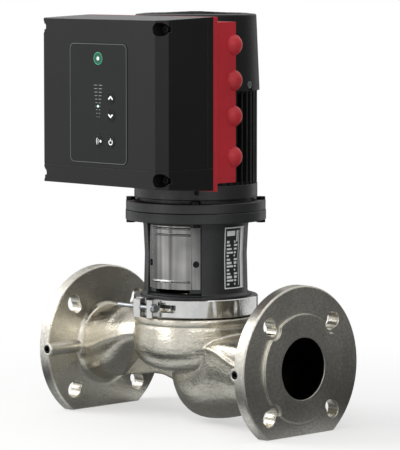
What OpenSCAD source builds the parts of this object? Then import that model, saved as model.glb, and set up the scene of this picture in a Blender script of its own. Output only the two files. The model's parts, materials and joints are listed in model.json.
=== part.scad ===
/* [Pipe connections] */
// Distance between the two flange faces
face_to_face = 340; // [320:5:380]
// Bore of both ports
port_d = 70; // [60:1:72]
// Straight length of each port bore
port_straight = 26; // [20:1:32]
// Outside diameter of the flanges
flange_d = 185; // [178:1:200]
// Thickness of a flange, raised face included
flange_t = 18.5; // [16:0.5:22]
// Diameter of the raised face
raised_d = 122; // [112:1:124]
// Height of the raised face
raised_h = 3; // [1:0.5:4]
// Circle of the large flange bolts
bolt_circle = 145; // [140:1:150]
// Hole for a large flange bolt
bolt_hole_d = 19; // [17:0.5:20]
// Circle of the small flange bolts, which share the same holes
bolt_circle_small = 130; // [126:1:134]
// Hole for a small flange bolt
bolt_hole_small_d = 13; // [10:0.5:13]
// Number of flange bolts
bolt_count = 4; // [4:4:8]
// Relief cut in the raised face round each hole
scallop_d = 21; // [16:0.5:23]
// Height of the port axis above the flats that the pump stands on
flat_drop = 75; // [70:1:85]
// Bevel on the rims of the flanges
rim_bevel = 1.5; // [0.5:0.5:3]

/* [Pump housing] */
// Widest diameter of the bowl
bowl_d = 143; // [136:1:150]
// Underside of the bowl at its edge, below the port axis
bowl_drop = 8; // [6:1:12]
// How much deeper the bowl's underside is on its axis
bowl_cone = 18; // [14:1:22]
// Radius of the bowl's lower corner
bowl_corner_r = 30; // [24:1:34]
// Top of the collar on the bowl
collar_top = 47.5; // [46:0.5:48]
// Height of the collar
collar_h = 8; // [6:0.5:9]
// Wall of the casting
cast_wall = 6; // [5:0.5:7]
// Outside diameter of the branches at the flanges
branch_d = 86; // [84:1:92]
// Outside diameter of the suction elbow
elbow_d = 76.6; // [74:0.2:80]
// Depth of the elbow's axis below the port axis
elbow_drop = 32; // [30:1:33]
// Diameter of the suction neck under the bowl
neck_d = 55; // [53:1:62]
// Radius of the elbow's heel
heel_r = 50; // [42:1:54]
// Fillet between the branches and their flanges
branch_fillet = 8; // [5:0.5:9]
// Radius of the bead on the parting line
bead_r = 3; // [1.5:0.1:3.5]
// Thickness of the web under the bowl
web_t = 8; // [5:0.5:10]
// Radius of the boss for a pressure tapping
tap_boss_r = 7.5; // [7:0.5:8.5]
// Thread diameter of a pressure tapping
tap_d = 9.7; // [8:0.1:10]
// Spiral chamber, radius at the tongue
volute_r0 = 56; // [55:0.5:58]
// Spiral chamber, growth of the radius over one turn
volute_growth = 7; // [3:0.5:8]

/* [Clamp joint] */
// Height of the joint between housing and stool
joint_z = 60; // [59:0.5:62]
// Tip radius of the conical flange pair
cone_tip_r = 67.5; // [66.5:0.1:68]
// Root radius of the conical flange pair
cone_root_r = 62.5; // [62:0.1:63]
// Half thickness of the pair at the tip
cone_tip_half = 3.2; // [2.5:0.1:4]
// Half thickness of the pair at the root
cone_root_half = 7.5; // [7:0.1:8]
// Outside diameter of the clamp band
clamp_d = 142.4; // [141:0.2:146]
// Height of the clamp band
clamp_h = 20.4; // [18:0.2:21]
// Distance from the pump axis to the clamp bolt
clamp_bolt_y = 80; // [79:0.5:84]
// Thread diameter of the clamp bolt
clamp_bolt_d = 5; // [4:0.5:6]
// Length of the clamp bolt under its head
clamp_bolt_len = 56; // [40:1:70]

/* [Impeller and seal] */
// Outside diameter of the impeller
impeller_d = 104; // [96:1:106]
// Inside diameter of the impeller's eye
eye_d = 44; // [42:1:46]
// Wall of the shrouds and blades
impeller_wall = 2; // [1.5:0.1:2.5]
// Number of impeller blades
blade_count = 6; // [5:1:8]
// Diameter of the pump shaft
pump_shaft_d = 16; // [14:0.5:18]
// Thread diameter of the impeller end of the shaft
nut_thread_d = 10; // [8:0.5:11]
// Across flats of the impeller nut
nut_af = 17; // [15:0.5:19]
// Outside diameter of the seal chamber's bore
seal_bore_d = 34; // [32:1:36]

/* [Motor stool] */
// Smallest outside diameter of the stool
waist_d = 117; // [114:0.5:119]
// Outside diameter of the stool near its ends
stool_d = 120; // [119:0.5:124]
// Wall of the stool
stool_wall = 7; // [6:0.5:8]
// Height of the underside of the stool's flange
stool_flange_z = 157; // [155:0.5:159]
// Diameter of the stool's flange and of the motor's flange
motor_flange_d = 161; // [159:0.5:166]
// Angle that each window of the stool spans
window_span = 73; // [66:1:76]
// Angle that the deep part of each window spans
window_deep_span = 46; // [40:1:50]
// Direction of the middle of the front window
window_middle = -74.5; // [-78:0.5:-72]
// Circle of the motor flange bolts
motor_bolt_circle = 149; // [147:0.5:150]
// Thread diameter of the motor flange bolts
motor_bolt_d = 6; // [5:0.5:6]
// Across flats of the motor flange bolts and nuts
motor_bolt_af = 10; // [9:0.5:10]
// Sheet thickness of the coupling guards
guard_sheet = 1.2; // [0.8:0.1:1.5]
// How far the middle of a guard bulges out
guard_bulge = 2; // [1.5:0.1:3]

/* [Motor] */
// Joint between the stool's flange and the motor's flange
motor_flange_z = 168.5; // [167:0.5:171]
// Top of the motor's flange
motor_flange_top = 179.4; // [178:0.2:180]
// Underside of the skirt of the drive end shield
skirt_z = 183; // [182.8:0.2:184]
// Diameter of the skirt
skirt_d = 141; // [139:0.5:141.5]
// Bottom of the finned stator housing
stator_z = 199; // [197:1:201]
// Top of the finned stator housing
stator_top = 305; // [301:1:309]
// Diameter over the fins
fin_d = 140; // [136:1:140]
// Diameter at the root of the fins
fin_root_d = 126; // [124:0.5:129]
// Number of fins round the full circle
fin_count = 48; // [36:2:56]
// Thickness of a fin
fin_t = 2; // [1.5:0.1:2.5]
// Diameter of the stator core
core_d = 116; // [112:0.5:117]
// Bore of the stator core
core_bore_d = 77; // [74:0.5:78]
// Air gap between stator and rotor
air_gap = 0.5; // [0.4:0.1:1]
// Number of stator slots
slot_count = 12; // [9:3:12]
// Number of rotor magnets
magnet_count = 8; // [6:2:8]
// Diameter of the motor shaft at the coupling
motor_shaft_d = 24; // [22:0.5:24.5]
// Bottom diameter of the fan cover
fan_cover_d = 145.6; // [144.8:0.2:146]
// Top diameter of the fan cover
fan_cover_top_d = 138; // [134:0.5:142]
// Height of the top of the fan cover's wall
fan_cover_z = 391; // [380:1:396]
// Crown of the grille above the wall
grille_crown = 3; // [2:0.5:5]
// Sheet thickness of the fan cover
fan_cover_wall = 2.2; // [1.8:0.1:2.3]
// Outside diameter of the fan
fan_d = 124; // [110:1:128]
// Number of fan blades
fan_blades = 9; // [7:1:11]

/* [Control box] */
// Width of the control cover at its rear
box_w = 203.6; // [198:0.4:206]
// Front plane of the control cover, in front of the shaft
box_front = 151.4; // [148:0.2:158]
// Rear plane of the control cover, in front of the shaft
box_split = 73.3; // [72:0.1:75]
// Bottom of the control cover at its front
box_bottom = 203.3; // [202:0.1:206]
// Top of the control cover at its front
box_top = 387.1; // [384:0.1:390]
// How far the bottom and the sides widen to the rear
box_draft = 5; // [3:0.5:6]
// Bevel of the front vertical corners
box_bevel = 10.5; // [8:0.5:12]
// Wall of the control cover
cover_wall = 3.5; // [3:0.1:4]
// Diameter of the recesses of the cover screws
recess_d = 15; // [13:0.5:16]
// Thickness of the terminal box lip
lip_t = 7; // [5:0.5:8]
// Rear plane of the terminal box, in front of the shaft
wing_rear = 33.5; // [31:0.5:36]
// Wall of the terminal box
box_wall = 3; // [2.5:0.1:3.5]
// Diameter of the cable entry bosses
entry_d = 23; // [20:0.5:25]
// Width of the display panel
panel_w = 93; // [88:0.5:98]
// Height of the display panel
panel_h = 133.5; // [128:0.5:138]
// Middle height of the display panel
panel_z = 294.2; // [290:0.2:298]
// Corner radius of the display panel
panel_r = 7; // [4:0.5:10]
// Diameter of a push button
button_d = 13; // [12:0.5:14]
// Travel of a push button
button_travel = 0.6; // [0.3:0.1:0.8]

/* [Hidden] */
$fn = 96;
eps = 0.01;
// Gap between fixed pieces that fit in each other
fit = 0.05;
// Gap between a moving piece and a fixed one
run = 0.3;
shaft_x = -face_to_face / 2;
// Longer than the part, for cuts that go right through
reach = 2 * face_to_face;
half = face_to_face / 2;
back_face = half - flange_t;

// The pump frame has the shaft on its Z axis and the port axis on its X axis
module at_shaft() translate([shaft_x, 0, 0]) children();

// A polygon whose corners are rounded by the given radii
function unit(v) = v / norm(v);
function wrap(a) = a > 180 ? a - 360 : a < -180 ? a + 360 : a;
function corner(p, a, b, r, n) =
  let (
    u = unit(a - p),
    v = unit(b - p),
    h = acos(u * v) / 2,
    c = p + unit(u + v) * r / sin(h),
    s = p + u * r / tan(h) - c,
    e = p + v * r / tan(h) - c,
    a0 = atan2(s[1], s[0]),
    da = wrap(atan2(e[1], e[0]) - a0)
  )
  [for (k = [0:n]) c + r * [cos(a0 + da * k / n), sin(a0 + da * k / n)]];
function rounded(pts, rs, n = 6) = [
  for (i = [0:len(pts) - 1])
    each rs[i] == 0 ? [pts[i]]
      : corner(pts[i], pts[(i + len(pts) - 1) % len(pts)], pts[(i + 1) % len(pts)], rs[i], n)
];

// A closed skin through rings of points, each ring with as many points
module loft(rings) {
  n = len(rings[0]);
  m = len(rings);
  walls = [
    for (j = [0:m - 2], i = [0:n - 1])
      let (k = (i + 1) % n)
      each [[j * n + i, j * n + k, j * n + n + k], [j * n + i, j * n + n + k, j * n + n + i]]
  ];
  polyhedron(
    points = [for (r = rings) each r],
    faces = concat(
      walls,
      [[for (i = [n - 1:-1:0]) i]],
      [[for (i = [0:n - 1]) (m - 1) * n + i]]
    )
  );
}

// Piecewise curve through knots [x, value], eased so that it has no kinks
function slope(k, i, c) =
  i == 0 || i == len(k) - 1 ? 0 : (k[i + 1][c] - k[i - 1][c]) / (k[i + 1][0] - k[i - 1][0]);
function seg(k, x) = [for (i = [0:len(k) - 2]) if (x >= k[i][0]) i];
function at(k, x, c) =
  let (
    s = seg(k, x),
    i = s[len(s) - 1],
    w = k[i + 1][0] - k[i][0],
    t = (x - k[i][0]) / w
  )
  k[i][c] * (1 + 2 * t) * (1 - t) * (1 - t) + k[i + 1][c] * t * t * (3 - 2 * t)
  + slope(k, i, c) * w * t * (1 - t) * (1 - t) - slope(k, i + 1, c) * w * t * t * (1 - t);

module sector(r0, r1, z0, z1, a0, a1) {
  rotate([0, 0, a0])
    rotate_extrude(angle = a1 - a0)
      translate([r0, z0])
        square([r1 - r0, z1 - z0]);
}

module ring(r0, r1, z0, z1) {
  rotate_extrude()
    translate([r0, z0])
      square([r1 - r0, z1 - z0]);
}

// A cylinder that runs along X from x0 to x1
module rod_x(r, x0, x1) translate([x0, 0, 0]) rotate([0, 90, 0]) cylinder(r = r, h = x1 - x0);

// A cylinder that runs along Y from y0 to y1
module rod_y(r, y0, y1) translate([0, y0, 0]) rotate([-90, 0, 0]) cylinder(r = r, h = y1 - y0);

// A hexagonal prism along Z
module hexagon(af, h) cylinder(d = af / cos(30), h = h, $fn = 6);

function bolt_angles(n) = [for (i = [0:n - 1]) 180 / n + i * 360 / n];

// Flanges

// A flange in its own frame: face at X = 0, body toward -X
module flange_body() {
  r = flange_d / 2;
  t = flange_t;
  rotate([0, 90, 0])
    rotate_extrude()
      polygon([
        [0, -t], [r - rim_bevel, -t], [r, -t + rim_bevel],
        [r, -raised_h - rim_bevel], [r - rim_bevel, -raised_h], [0, -raised_h]
      ]);
  difference() {
    rod_x(raised_d / 2, -raised_h - 1, 0);
    for (a = bolt_angles(bolt_count))
      rotate([a, 0, 0])
        translate([0, bolt_circle_small / 2, 0])
          rod_x(scallop_d / 2, -raised_h, 1);
  }
}

module flange_holes() {
  for (a = bolt_angles(bolt_count))
    rotate([a, 0, 0]) {
      translate([0, bolt_circle / 2, 0]) rod_x(bolt_hole_d / 2, -flange_t - 1, 1);
      translate([0, bolt_circle_small / 2, 0]) rod_x(bolt_hole_small_d / 2, -flange_t - 1, 1);
    }
}

// Branch castings, as sections along X: parting height, half width, rise and depth, fullness
branch_r = branch_d / 2;
elbow_r = elbow_d / 2;
bowl_r = bowl_d / 2;
elbow_bottom = -elbow_drop - elbow_r;
suction_neck_r = neck_d / 2;
// The elbow's sections fan out from this point beyond its inner corner
bend_clear = 4;
pivot = [suction_neck_r + bend_clear, 6];
discharge_knots = [
  [0, 0, branch_r, branch_r + 1, branch_r - 1, 2],
  [20, 1, branch_r + 0.5, branch_r + 2, branch_r - 3, 2],
  [42, 9, branch_r + 1.5, 40, 40, 2],
  [55, 13.5, branch_r + 2, 34, 33, 2],
  [77, 20, branch_r + 2.5, 26.5, 21, 2.1],
  [97, 23.5, branch_r, 22, 18, 2.2]
];
suction_knots = [
  [0, 0, branch_r, branch_r, branch_r, 2],
  [32, 0, branch_r + 1, branch_r - 4, branch_r + 7.5, 2.1],
  [47, 1, branch_r + 1, branch_r - 9.5, branch_r + 12.5, 2.3],
  [62, 6.8, branch_r + 1, 25.7, 65.3, 2.5],
  [80, 14.2, branch_r, 15.5, 77.5, 2.5],
  [102, 14, branch_r - 2, 8, 82, 2.4],
  [back_face + 2 - pivot[0], -12, elbow_r, pivot[1] + 12 - bend_clear, -elbow_bottom - 12, 2.1]
];
section_n = 36;
function power(v, e) = sign(v) * pow(abs(v), e);
function mix(a, b, t) = a + (b - a) * t;
function ease(t) = t * t * (3 - 2 * t);
// A section across X: parting height, half width, rise, depth and fullness
function section(x, v, side = 1) = [
  for (i = [0:section_n - 1])
    let (a = i * 360 / section_n)
    [
      x, v[1] * power(cos(a), 2 / v[4]) * side,
      v[0] + (sin(a) > 0 ? v[2] : v[3]) * power(sin(a), 2 / v[4])
    ]
];
function knot_values(k, s, wall) =
  [at(k, s, 1), at(k, s, 2) - wall, at(k, s, 3) - wall, at(k, s, 4) - wall, at(k, s, 5)];
function branch_ring(k, s, side, wall = 0) =
  section(side * (back_face + 2 - s), knot_values(k, s, wall), side);
// How much a fillet widens the branch at s
function flare(s) =
  let (d = min(max(s - 2, 0), branch_fillet))
  branch_fillet - sqrt(pow(branch_fillet, 2) - pow(branch_fillet - d, 2));
function branch_rings(knots, side) =
  let (last = knots[len(knots) - 1][0], f = branch_fillet, n = 10)
  [
    for (s = concat(
      [0, for (t = [0, 0.04, 0.14, 0.32, 0.6, 1]) 2 + f * t],
      [for (i = [1:n]) 2 + f + (last - 2 - f) * i / n]
    ))
      branch_ring(knots, s, side, -flare(s))
  ];

// The bead on the parting line of a branch
module parting_bead(knots, side, hand, last) {
  loft([
    for (i = [0:12])
      let (s = last * i / 12)
      [
        for (a = [0:45:315])
          [
            side * (back_face + 2 - s),
            hand * (at(knots, s, 2) - 0.5 + bead_r * cos(a)),
            at(knots, s, 1) + side * hand * bead_r * sin(a)
          ]
      ]
  ]);
}

// Outline of the bowl with its collar and the conical flange
module bowl() {
  z1 = joint_z - cone_root_half;
  groove_z = collar_top - collar_h;
  rotate_extrude()
    polygon(rounded(
      [
        [0, -bowl_drop - bowl_cone], [bowl_r, -bowl_drop], [bowl_r, groove_z - 15],
        [bowl_r - 1.2, groove_z - 2.5], [bowl_r - 2.8, groove_z - 1], [bowl_r - 1, groove_z + 1],
        [bowl_r - 1, collar_top],
        [cone_root_r, collar_top + 1], [cone_root_r, z1],
        [cone_tip_r, joint_z - cone_tip_half], [cone_tip_r, joint_z], [0, joint_z]
      ],
      [0, bowl_corner_r, 12, 1, 0.6, 0.6, 1, 0, 0, 0.5, 0, 0]
    ));
}

// Distance from the pivot to the elbow's outside at the angle a
function bend_far(a) =
  let (
    c = [heel_r - suction_neck_r, elbow_bottom + heel_r],
    u = [cos(a), sin(a)],
    straight = a < 225 ? -(pivot[0] + suction_neck_r) / u[0] : (elbow_bottom - pivot[1]) / u[1],
    hit = pivot + straight * u,
    d = pivot - c,
    k = d * u
  )
  hit[0] >= c[0] || hit[1] >= c[1] ? straight : sqrt(k * k - d * d + heel_r * heel_r) - k;
// A section of the suction elbow in the plane at the angle a
function bend_ring(a, wall) =
  let (
    end = suction_knots[len(suction_knots) - 1],
    k = ease((270 - a) / 90),
    near = bend_clear + wall,
    far = bend_far(a) - wall,
    wide = mix(pivot[1] - end[1], pivot[0], k),
    w = mix(elbow_r, suction_neck_r, k) - wall,
    e = mix(end[5], 2, k)
  )
  [
    for (i = [0:section_n - 1])
      let (
        t = i * 360 / section_n,
        v = power(sin(t), 2 / e),
        s = wide - (v > 0 ? wide - near : far - wide) * v
      )
      [pivot[0] + s * cos(a), w * power(cos(t), 2 / e), pivot[1] + s * sin(a)]
  ];
function bend_rings(wall) = [for (a = [264:-6:180]) bend_ring(a, wall)];

web_edge = [
  [-125, -36], [-66, -27.5], [-50, -27.5], [-36, -31], [-20, -40], [-20, -8], [-50, 6], [-72, 8],
  [-118, 0]
];
module web() {
  translate([0, web_t / 2, 0])
    rotate([90, 0, 0])
      linear_extrude(web_t)
        polygon(rounded(web_edge, [0, 60, 30, 0, 0, 0, 0, 0, 0]));
  // The short pointed rib at the discharge flange
  translate([0, 3, 0])
    rotate([90, 0, 0])
      linear_extrude(6)
        polygon([[-back_face - 1, -49], [-back_face + 12, -36], [-back_face - 1, -30]]);
}

// Floor of the spiral chamber and the throat below the impeller's eye
floor_z = -9;
eye_r = eye_d / 2;
eye_top = 2;
eye_outer = eye_r + impeller_wall;
wear_r0 = eye_outer + run;
wear_r1 = wear_r0 + 3;
wear_z = -8;
wear_h = 7;
cover_t = 6;
cover_r = cone_root_r - 1;
volute_n = 60;

module spiral_chamber() {
  r = bowl_r - cast_wall;
  h = joint_z - cover_t - 8;
  intersection() {
    rotate_extrude()
      polygon(rounded(
        [[0, floor_z], [r, floor_z], [r, h], [0, h]],
        [0, bowl_corner_r - cast_wall, 0, 0]
      ));
    translate([0, 0, floor_z - 1])
      linear_extrude(h - floor_z + 2)
        polygon([
          for (i = [0:volute_n - 1])
            let (a = i * 360 / volute_n)
            (volute_r0 + volute_growth * (volute_n - i) / volute_n) * [cos(a + 200), sin(a + 200)]
        ]);
  }
}

module water_ways() {
  port_r = port_d / 2;
  throat_r = suction_neck_r - cast_wall;
  roof = floor_z - cast_wall;
  last = suction_knots[len(suction_knots) - 1];
  mouth = [0, port_r - 0.2, port_r - 0.2, port_r - 0.2, 2];
  x1 = half - port_straight + 2;
  // Suction, kept under the bowl and its floor
  difference() {
    loft(concat(
      [
        for (i = [0:10])
          section(
            mix(x1, pivot[0], i / 10),
            mix(mouth, knot_values(suction_knots, last[0], cast_wall), ease(i / 10))
          )
      ],
      bend_rings(cast_wall)
    ));
    translate([0, 0, roof]) cylinder(r = bowl_r, h = 60);
  }
  for (a = [0, 180])
    rotate([0, 0, a])
      rod_x(port_r, half - port_straight, half + 1);
  // Throat, wear ring seat and chamber
  translate([0, 0, roof - 12]) cylinder(r1 = throat_r, r2 = eye_r, h = 12 + wear_z - roof);
  translate([0, 0, wear_z - eps]) cylinder(r = eye_r, h = 20);
  translate([0, 0, wear_z]) cylinder(r = wear_r1 + fit, h = wear_h + 1);
  difference() {
    spiral_chamber();
    translate([0, 0, floor_z - eps]) cylinder(r = wear_r1 + 5, h = wear_z + wear_h - floor_z);
  }
  translate([0, 0, floor_z + 20]) cylinder(r = impeller_d / 2 + 3, h = 80);
  translate([0, 0, joint_z - cover_t]) cylinder(r = cover_r + fit, h = cover_t + 1);
  // Discharge, from the port to the chamber
  s0 = back_face + 2 - half + port_straight - 2;
  s1 = discharge_knots[len(discharge_knots) - 1][0];
  loft([
    for (i = [0:9])
      let (t = min(i / 8, 1), wall = branch_r - port_r + 0.6 - t * (branch_r - port_r + 0.6 - cast_wall))
      [for (p = branch_ring(discharge_knots, s0 + t * (s1 - s0), -1, wall)) p + [i == 9 ? 20 : 0, 0, 0]]
  ]);
}

tap_x = half - raised_h - 13.5;
module tapping_boss(s) {
  translate([s * tap_x, 0, 0]) rod_y(tap_boss_r, -flange_d / 2 + 0.3, -port_d / 2 - 3);
}
plug_len = 9;
module tapping_hole(s) {
  translate([s * tap_x, 0, 0]) {
    rod_y(tap_d / 2 + fit, -flange_d / 2 - 1, -flange_d / 2 + plug_len + 1);
    rod_y(2.5, -flange_d / 2, -port_d / 2 + 2);
  }
}

module pump_housing() {
  color([0.58, 0.56, 0.5])
    at_shaft()
      difference() {
        union() {
          for (s = [0, 180])
            rotate([0, 0, s])
              translate([half, 0, 0])
                flange_body();
          bowl();
          loft(branch_rings(discharge_knots, -1));
          loft(concat(branch_rings(suction_knots, 1), bend_rings(0)));
          for (hand = [-1, 1]) {
            parting_bead(discharge_knots, -1, hand, 97);
            parting_bead(suction_knots, 1, hand, 102);
          }
          web();
          for (s = [-1, 1])
            tapping_boss(s);
        }
        for (s = [0, 180])
          rotate([0, 0, s])
            translate([half, 0, 0])
              flange_holes();
        translate([-half - 10, -flange_d, -flat_drop - 60])
          cube([face_to_face + 20, 2 * flange_d, 60]);
        water_ways();
        for (s = [-1, 1])
          tapping_hole(s);
      }
}

module wear_ring() {
  color([0.75, 0.74, 0.7])
    at_shaft()
      rotate_extrude()
        polygon([
          [wear_r0, wear_z], [wear_r1, wear_z], [wear_r1, wear_z + wear_h],
          [wear_r0 + 1, wear_z + wear_h], [wear_r0, wear_z + wear_h - 1]
        ]);
}

module tapping_plugs() {
  color([0.2, 0.2, 0.2])
    at_shaft()
      for (s = [-1, 1])
        translate([s * tap_x, -flange_d / 2 + 0.5, 0])
          difference() {
            rod_y(tap_d / 2, 0, plug_len);
            translate([0, -eps, 0])
              rotate([-90, 0, 0])
                hexagon(5, 5);
          }
}

// Seal cover between the housing and the stool
hub_r = seal_bore_d / 2 + 7;
hub_top = joint_z + 13;
seal_top = hub_top - 4;
o_ring_r = 1.5;
o_ring_z = joint_z - cover_t + 2.5;
module seal_cover() {
  color([0.7, 0.69, 0.66])
    at_shaft()
      difference() {
        union() {
          translate([0, 0, joint_z - cover_t]) cylinder(r = cover_r, h = cover_t);
          translate([0, 0, joint_z - cover_t - 4]) cylinder(r = volute_r0 - 2, h = 5);
          translate([0, 0, joint_z - 1]) cylinder(r = hub_r, h = hub_top - joint_z + 1);
        }
        translate([0, 0, 40]) cylinder(r = seal_bore_d / 2, h = seal_top - 40);
        cylinder(r = pump_shaft_d / 2 + 1, h = 100);
        rotate_extrude()
          translate([cover_r, o_ring_z])
            circle(r = o_ring_r + fit);
      }
}

module cover_o_ring() {
  color([0.08, 0.08, 0.08])
    at_shaft()
      rotate_extrude()
        intersection() {
          translate([cover_r, o_ring_z]) circle(r = o_ring_r);
          translate([cover_r - 3, o_ring_z - 3]) square([3, 6]);
        }
}

// Clamp
clamp_r = clamp_d / 2;
lug_left_x = -12;
lug_right_x = 7.9;
lug_left_r = 5.6;
lug_right_r = 4.5;
trunnion_r = 4.2;
bolt_z = joint_z + 1;
module band_ring() {
  g = fit;
  leg = (cone_tip_r - cone_root_r - 1.2) / (cone_tip_r - cone_root_r);
  leg_half = cone_tip_half + leg * (cone_root_half - cone_tip_half) + g;
  translate([0, 0, joint_z])
    rotate_extrude()
      polygon([
        [clamp_r, -clamp_h / 2 + 0.8], [clamp_r, clamp_h / 2 - 0.8],
        [clamp_r - 0.8, clamp_h / 2], [cone_root_r + 1.2, clamp_h / 2],
        [cone_root_r + 1.2, leg_half], [cone_tip_r + g, cone_tip_half + g],
        [cone_tip_r + g, -cone_tip_half - g], [cone_root_r + 1.2, -leg_half],
        [cone_root_r + 1.2, -clamp_h / 2], [clamp_r - 0.8, -clamp_h / 2]
      ]);
}

module clamp_band() {
  z0 = joint_z - clamp_h / 2;
  color([0.82, 0.82, 0.84])
    at_shaft()
      difference() {
        union() {
          band_ring();
          for (l = [[lug_left_x, lug_left_r], [lug_right_x, lug_right_r]]) {
            translate([l[0], -clamp_bolt_y, z0]) cylinder(r = l[1], h = clamp_h);
            translate([l[0] - 2.2, -clamp_bolt_y, z0])
              cube([4.4, clamp_bolt_y - clamp_r + 2, clamp_h]);
          }
        }
        translate([lug_left_x + 3, -clamp_r - 3, z0 - 1])
          cube([lug_right_x - lug_left_x - 6, 12, clamp_h + 2]);
        translate([lug_left_x, -clamp_bolt_y, z0 - 1])
          cylinder(r = trunnion_r + fit, h = clamp_h + 2);
        translate([0, -clamp_bolt_y, bolt_z])
          rod_x(clamp_bolt_d / 2 + 0.2, -30, 30);
        // Slot in the band beside the bolt head
        translate([12.5, -clamp_r - 1, joint_z - 4.5])
          cube([24, clamp_r - cone_tip_r + 5, 9]);
      }
}

module clamp_trunnion() {
  color([0.75, 0.75, 0.76])
    at_shaft()
      difference() {
        translate([lug_left_x, -clamp_bolt_y, joint_z - clamp_h / 2 + 1])
          cylinder(r = trunnion_r, h = clamp_h - 2);
        translate([0, -clamp_bolt_y, bolt_z]) rod_x(clamp_bolt_d / 2 + fit, -30, 30);
      }
}

head_x = lug_right_x + lug_right_r + 0.2;
module clamp_bolt() {
  color([0.8, 0.8, 0.8])
    at_shaft()
      translate([head_x, -clamp_bolt_y, bolt_z]) {
        rod_x(clamp_bolt_d / 2, -clamp_bolt_len, 3);
        rotate([0, 90, 0]) cylinder(r = clamp_bolt_d, h = 1.2);
        rotate([0, 90, 0]) hexagon(clamp_bolt_d * 1.7, 5);
      }
}

// Motor stool
stool_r = stool_d / 2;
stool_inner = waist_d / 2 - stool_wall;
base_top = joint_z + 12;
flange_r = motor_flange_d / 2;
spigot_r = 55;
window_z0 = base_top + 1.5;
window_z1 = stool_flange_z - 2;
guard_r = waist_d / 2 - 1.8;
guard_z0 = window_z0 + 7.5;
guard_z1 = window_z1 - 2;
screw_z = (guard_z0 + guard_z1) / 2 - 7;
screw_turn = window_span / 2 - 6.3;
function window_middles() = [window_middle, window_middle + 180];
module stool_shape() {
  waist_r = waist_d / 2;
  rotate_extrude()
    polygon(rounded(
      [
        [0, joint_z], [cone_tip_r, joint_z], [cone_tip_r, joint_z + cone_tip_half],
        [cone_root_r, joint_z + cone_root_half], [cone_root_r, base_top],
        [stool_r - 0.4, base_top + 3], [waist_r, 118], [stool_r, stool_flange_z - 8],
        [stool_r + 1, stool_flange_z], [flange_r, stool_flange_z],
        [flange_r, motor_flange_z], [0, motor_flange_z]
      ],
      [0, 0, 0.5, 0, 0.5, 1.5, 80, 20, 2, 1, 1, 0]
    ));
}

module motor_stool() {
  color([0.2, 0.2, 0.2])
    at_shaft()
      difference() {
        stool_shape();
        translate([0, 0, joint_z - 1]) cylinder(r = hub_r + 0.2, h = 100);
        translate([0, 0, base_top]) cylinder(r = stool_inner, h = 120);
        translate([0, 0, motor_flange_z - 4.2]) cylinder(r = spigot_r + fit, h = 10);
        for (m = window_middles()) {
          sector(guard_r, 90, window_z0, window_z1, m - window_span / 2, m + window_span / 2);
          sector(
            30, 90, window_z0 + 2, window_z1 - 3,
            m - window_deep_span / 2, m + window_deep_span / 2
          );
          // Sloped sill of the window
          rotate([0, 0, m - window_span / 2])
            rotate_extrude(angle = window_span)
              polygon([
                [guard_r - 5, window_z0 + 2], [90, window_z0 - 9],
                [90, window_z0 + 3], [guard_r - 5, window_z0 + 3]
              ]);
          for (t = [-1, 1])
            rotate([0, 0, m + t * screw_turn])
              translate([0, 0, screw_z])
                rod_x(2, stool_inner - 3, 80);
        }
        for (a = bolt_angles(4))
          rotate([0, 0, a])
            translate([motor_bolt_circle / 2, 0, stool_flange_z - 10])
              cylinder(r = motor_bolt_d / 2 + 0.3, h = 40);
      }
}

// A coupling guard whose middle is at the angle m
module guard(m) {
  a = window_span / 2 - 1.5;
  b = window_deep_span / 2 + 2;
  r0 = guard_r + fit;
  r1 = r0 + guard_bulge;
  bead = 0.7;
  side = 1.2;
  difference() {
    union() {
      sector(r0 - 3, r0 + guard_sheet, guard_z0, guard_z1, m - a, m + a);
      sector(r0 - 3, r1 + guard_sheet, guard_z0, guard_z1, m - b, m + b);
      for (z = [guard_z0 + 9, guard_z1 - 10, guard_z1 - 3])
        rotate([0, 0, m - b + side / 2])
          rotate_extrude(angle = 2 * b - side)
            translate([r1 + guard_sheet - bead, z])
              polygon([[0, -bead * 2], [bead, -bead * 2], [bead * 2, 0], [bead, bead * 2], [0, bead * 2]]);
    }
    sector(r0 - 4, r0, guard_z0 - 1, guard_z1 + 1, m - a - side, m + a + side);
    sector(r0 - 4, r1, guard_z0 - 1, guard_z1 + 1, m - b + side, m + b - side);
    for (t = [-1, 1])
      rotate([0, 0, m + t * screw_turn])
        translate([0, 0, screw_z])
          rod_x(2.2, 40, 80);
  }
}

module front_coupling_guard() {
  color([0.85, 0.85, 0.87]) at_shaft() guard(window_middle);
}

module rear_coupling_guard() {
  color([0.85, 0.85, 0.87]) at_shaft() guard(window_middle + 180);
}

module guard_screws() {
  color([0.7, 0.7, 0.7])
    at_shaft()
      for (m = window_middles(), t = [-1, 1])
        rotate([0, 0, m + t * screw_turn])
          translate([guard_r + guard_sheet + 2 * fit, 0, screw_z])
            difference() {
              union() {
                rod_x(1.9, -7, 1);
                rod_x(3.6, 0, 2.4);
              }
              translate([1.2, 0, 0])
                rotate([0, 90, 0])
                  hexagon(2.5, 3);
            }
}

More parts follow.
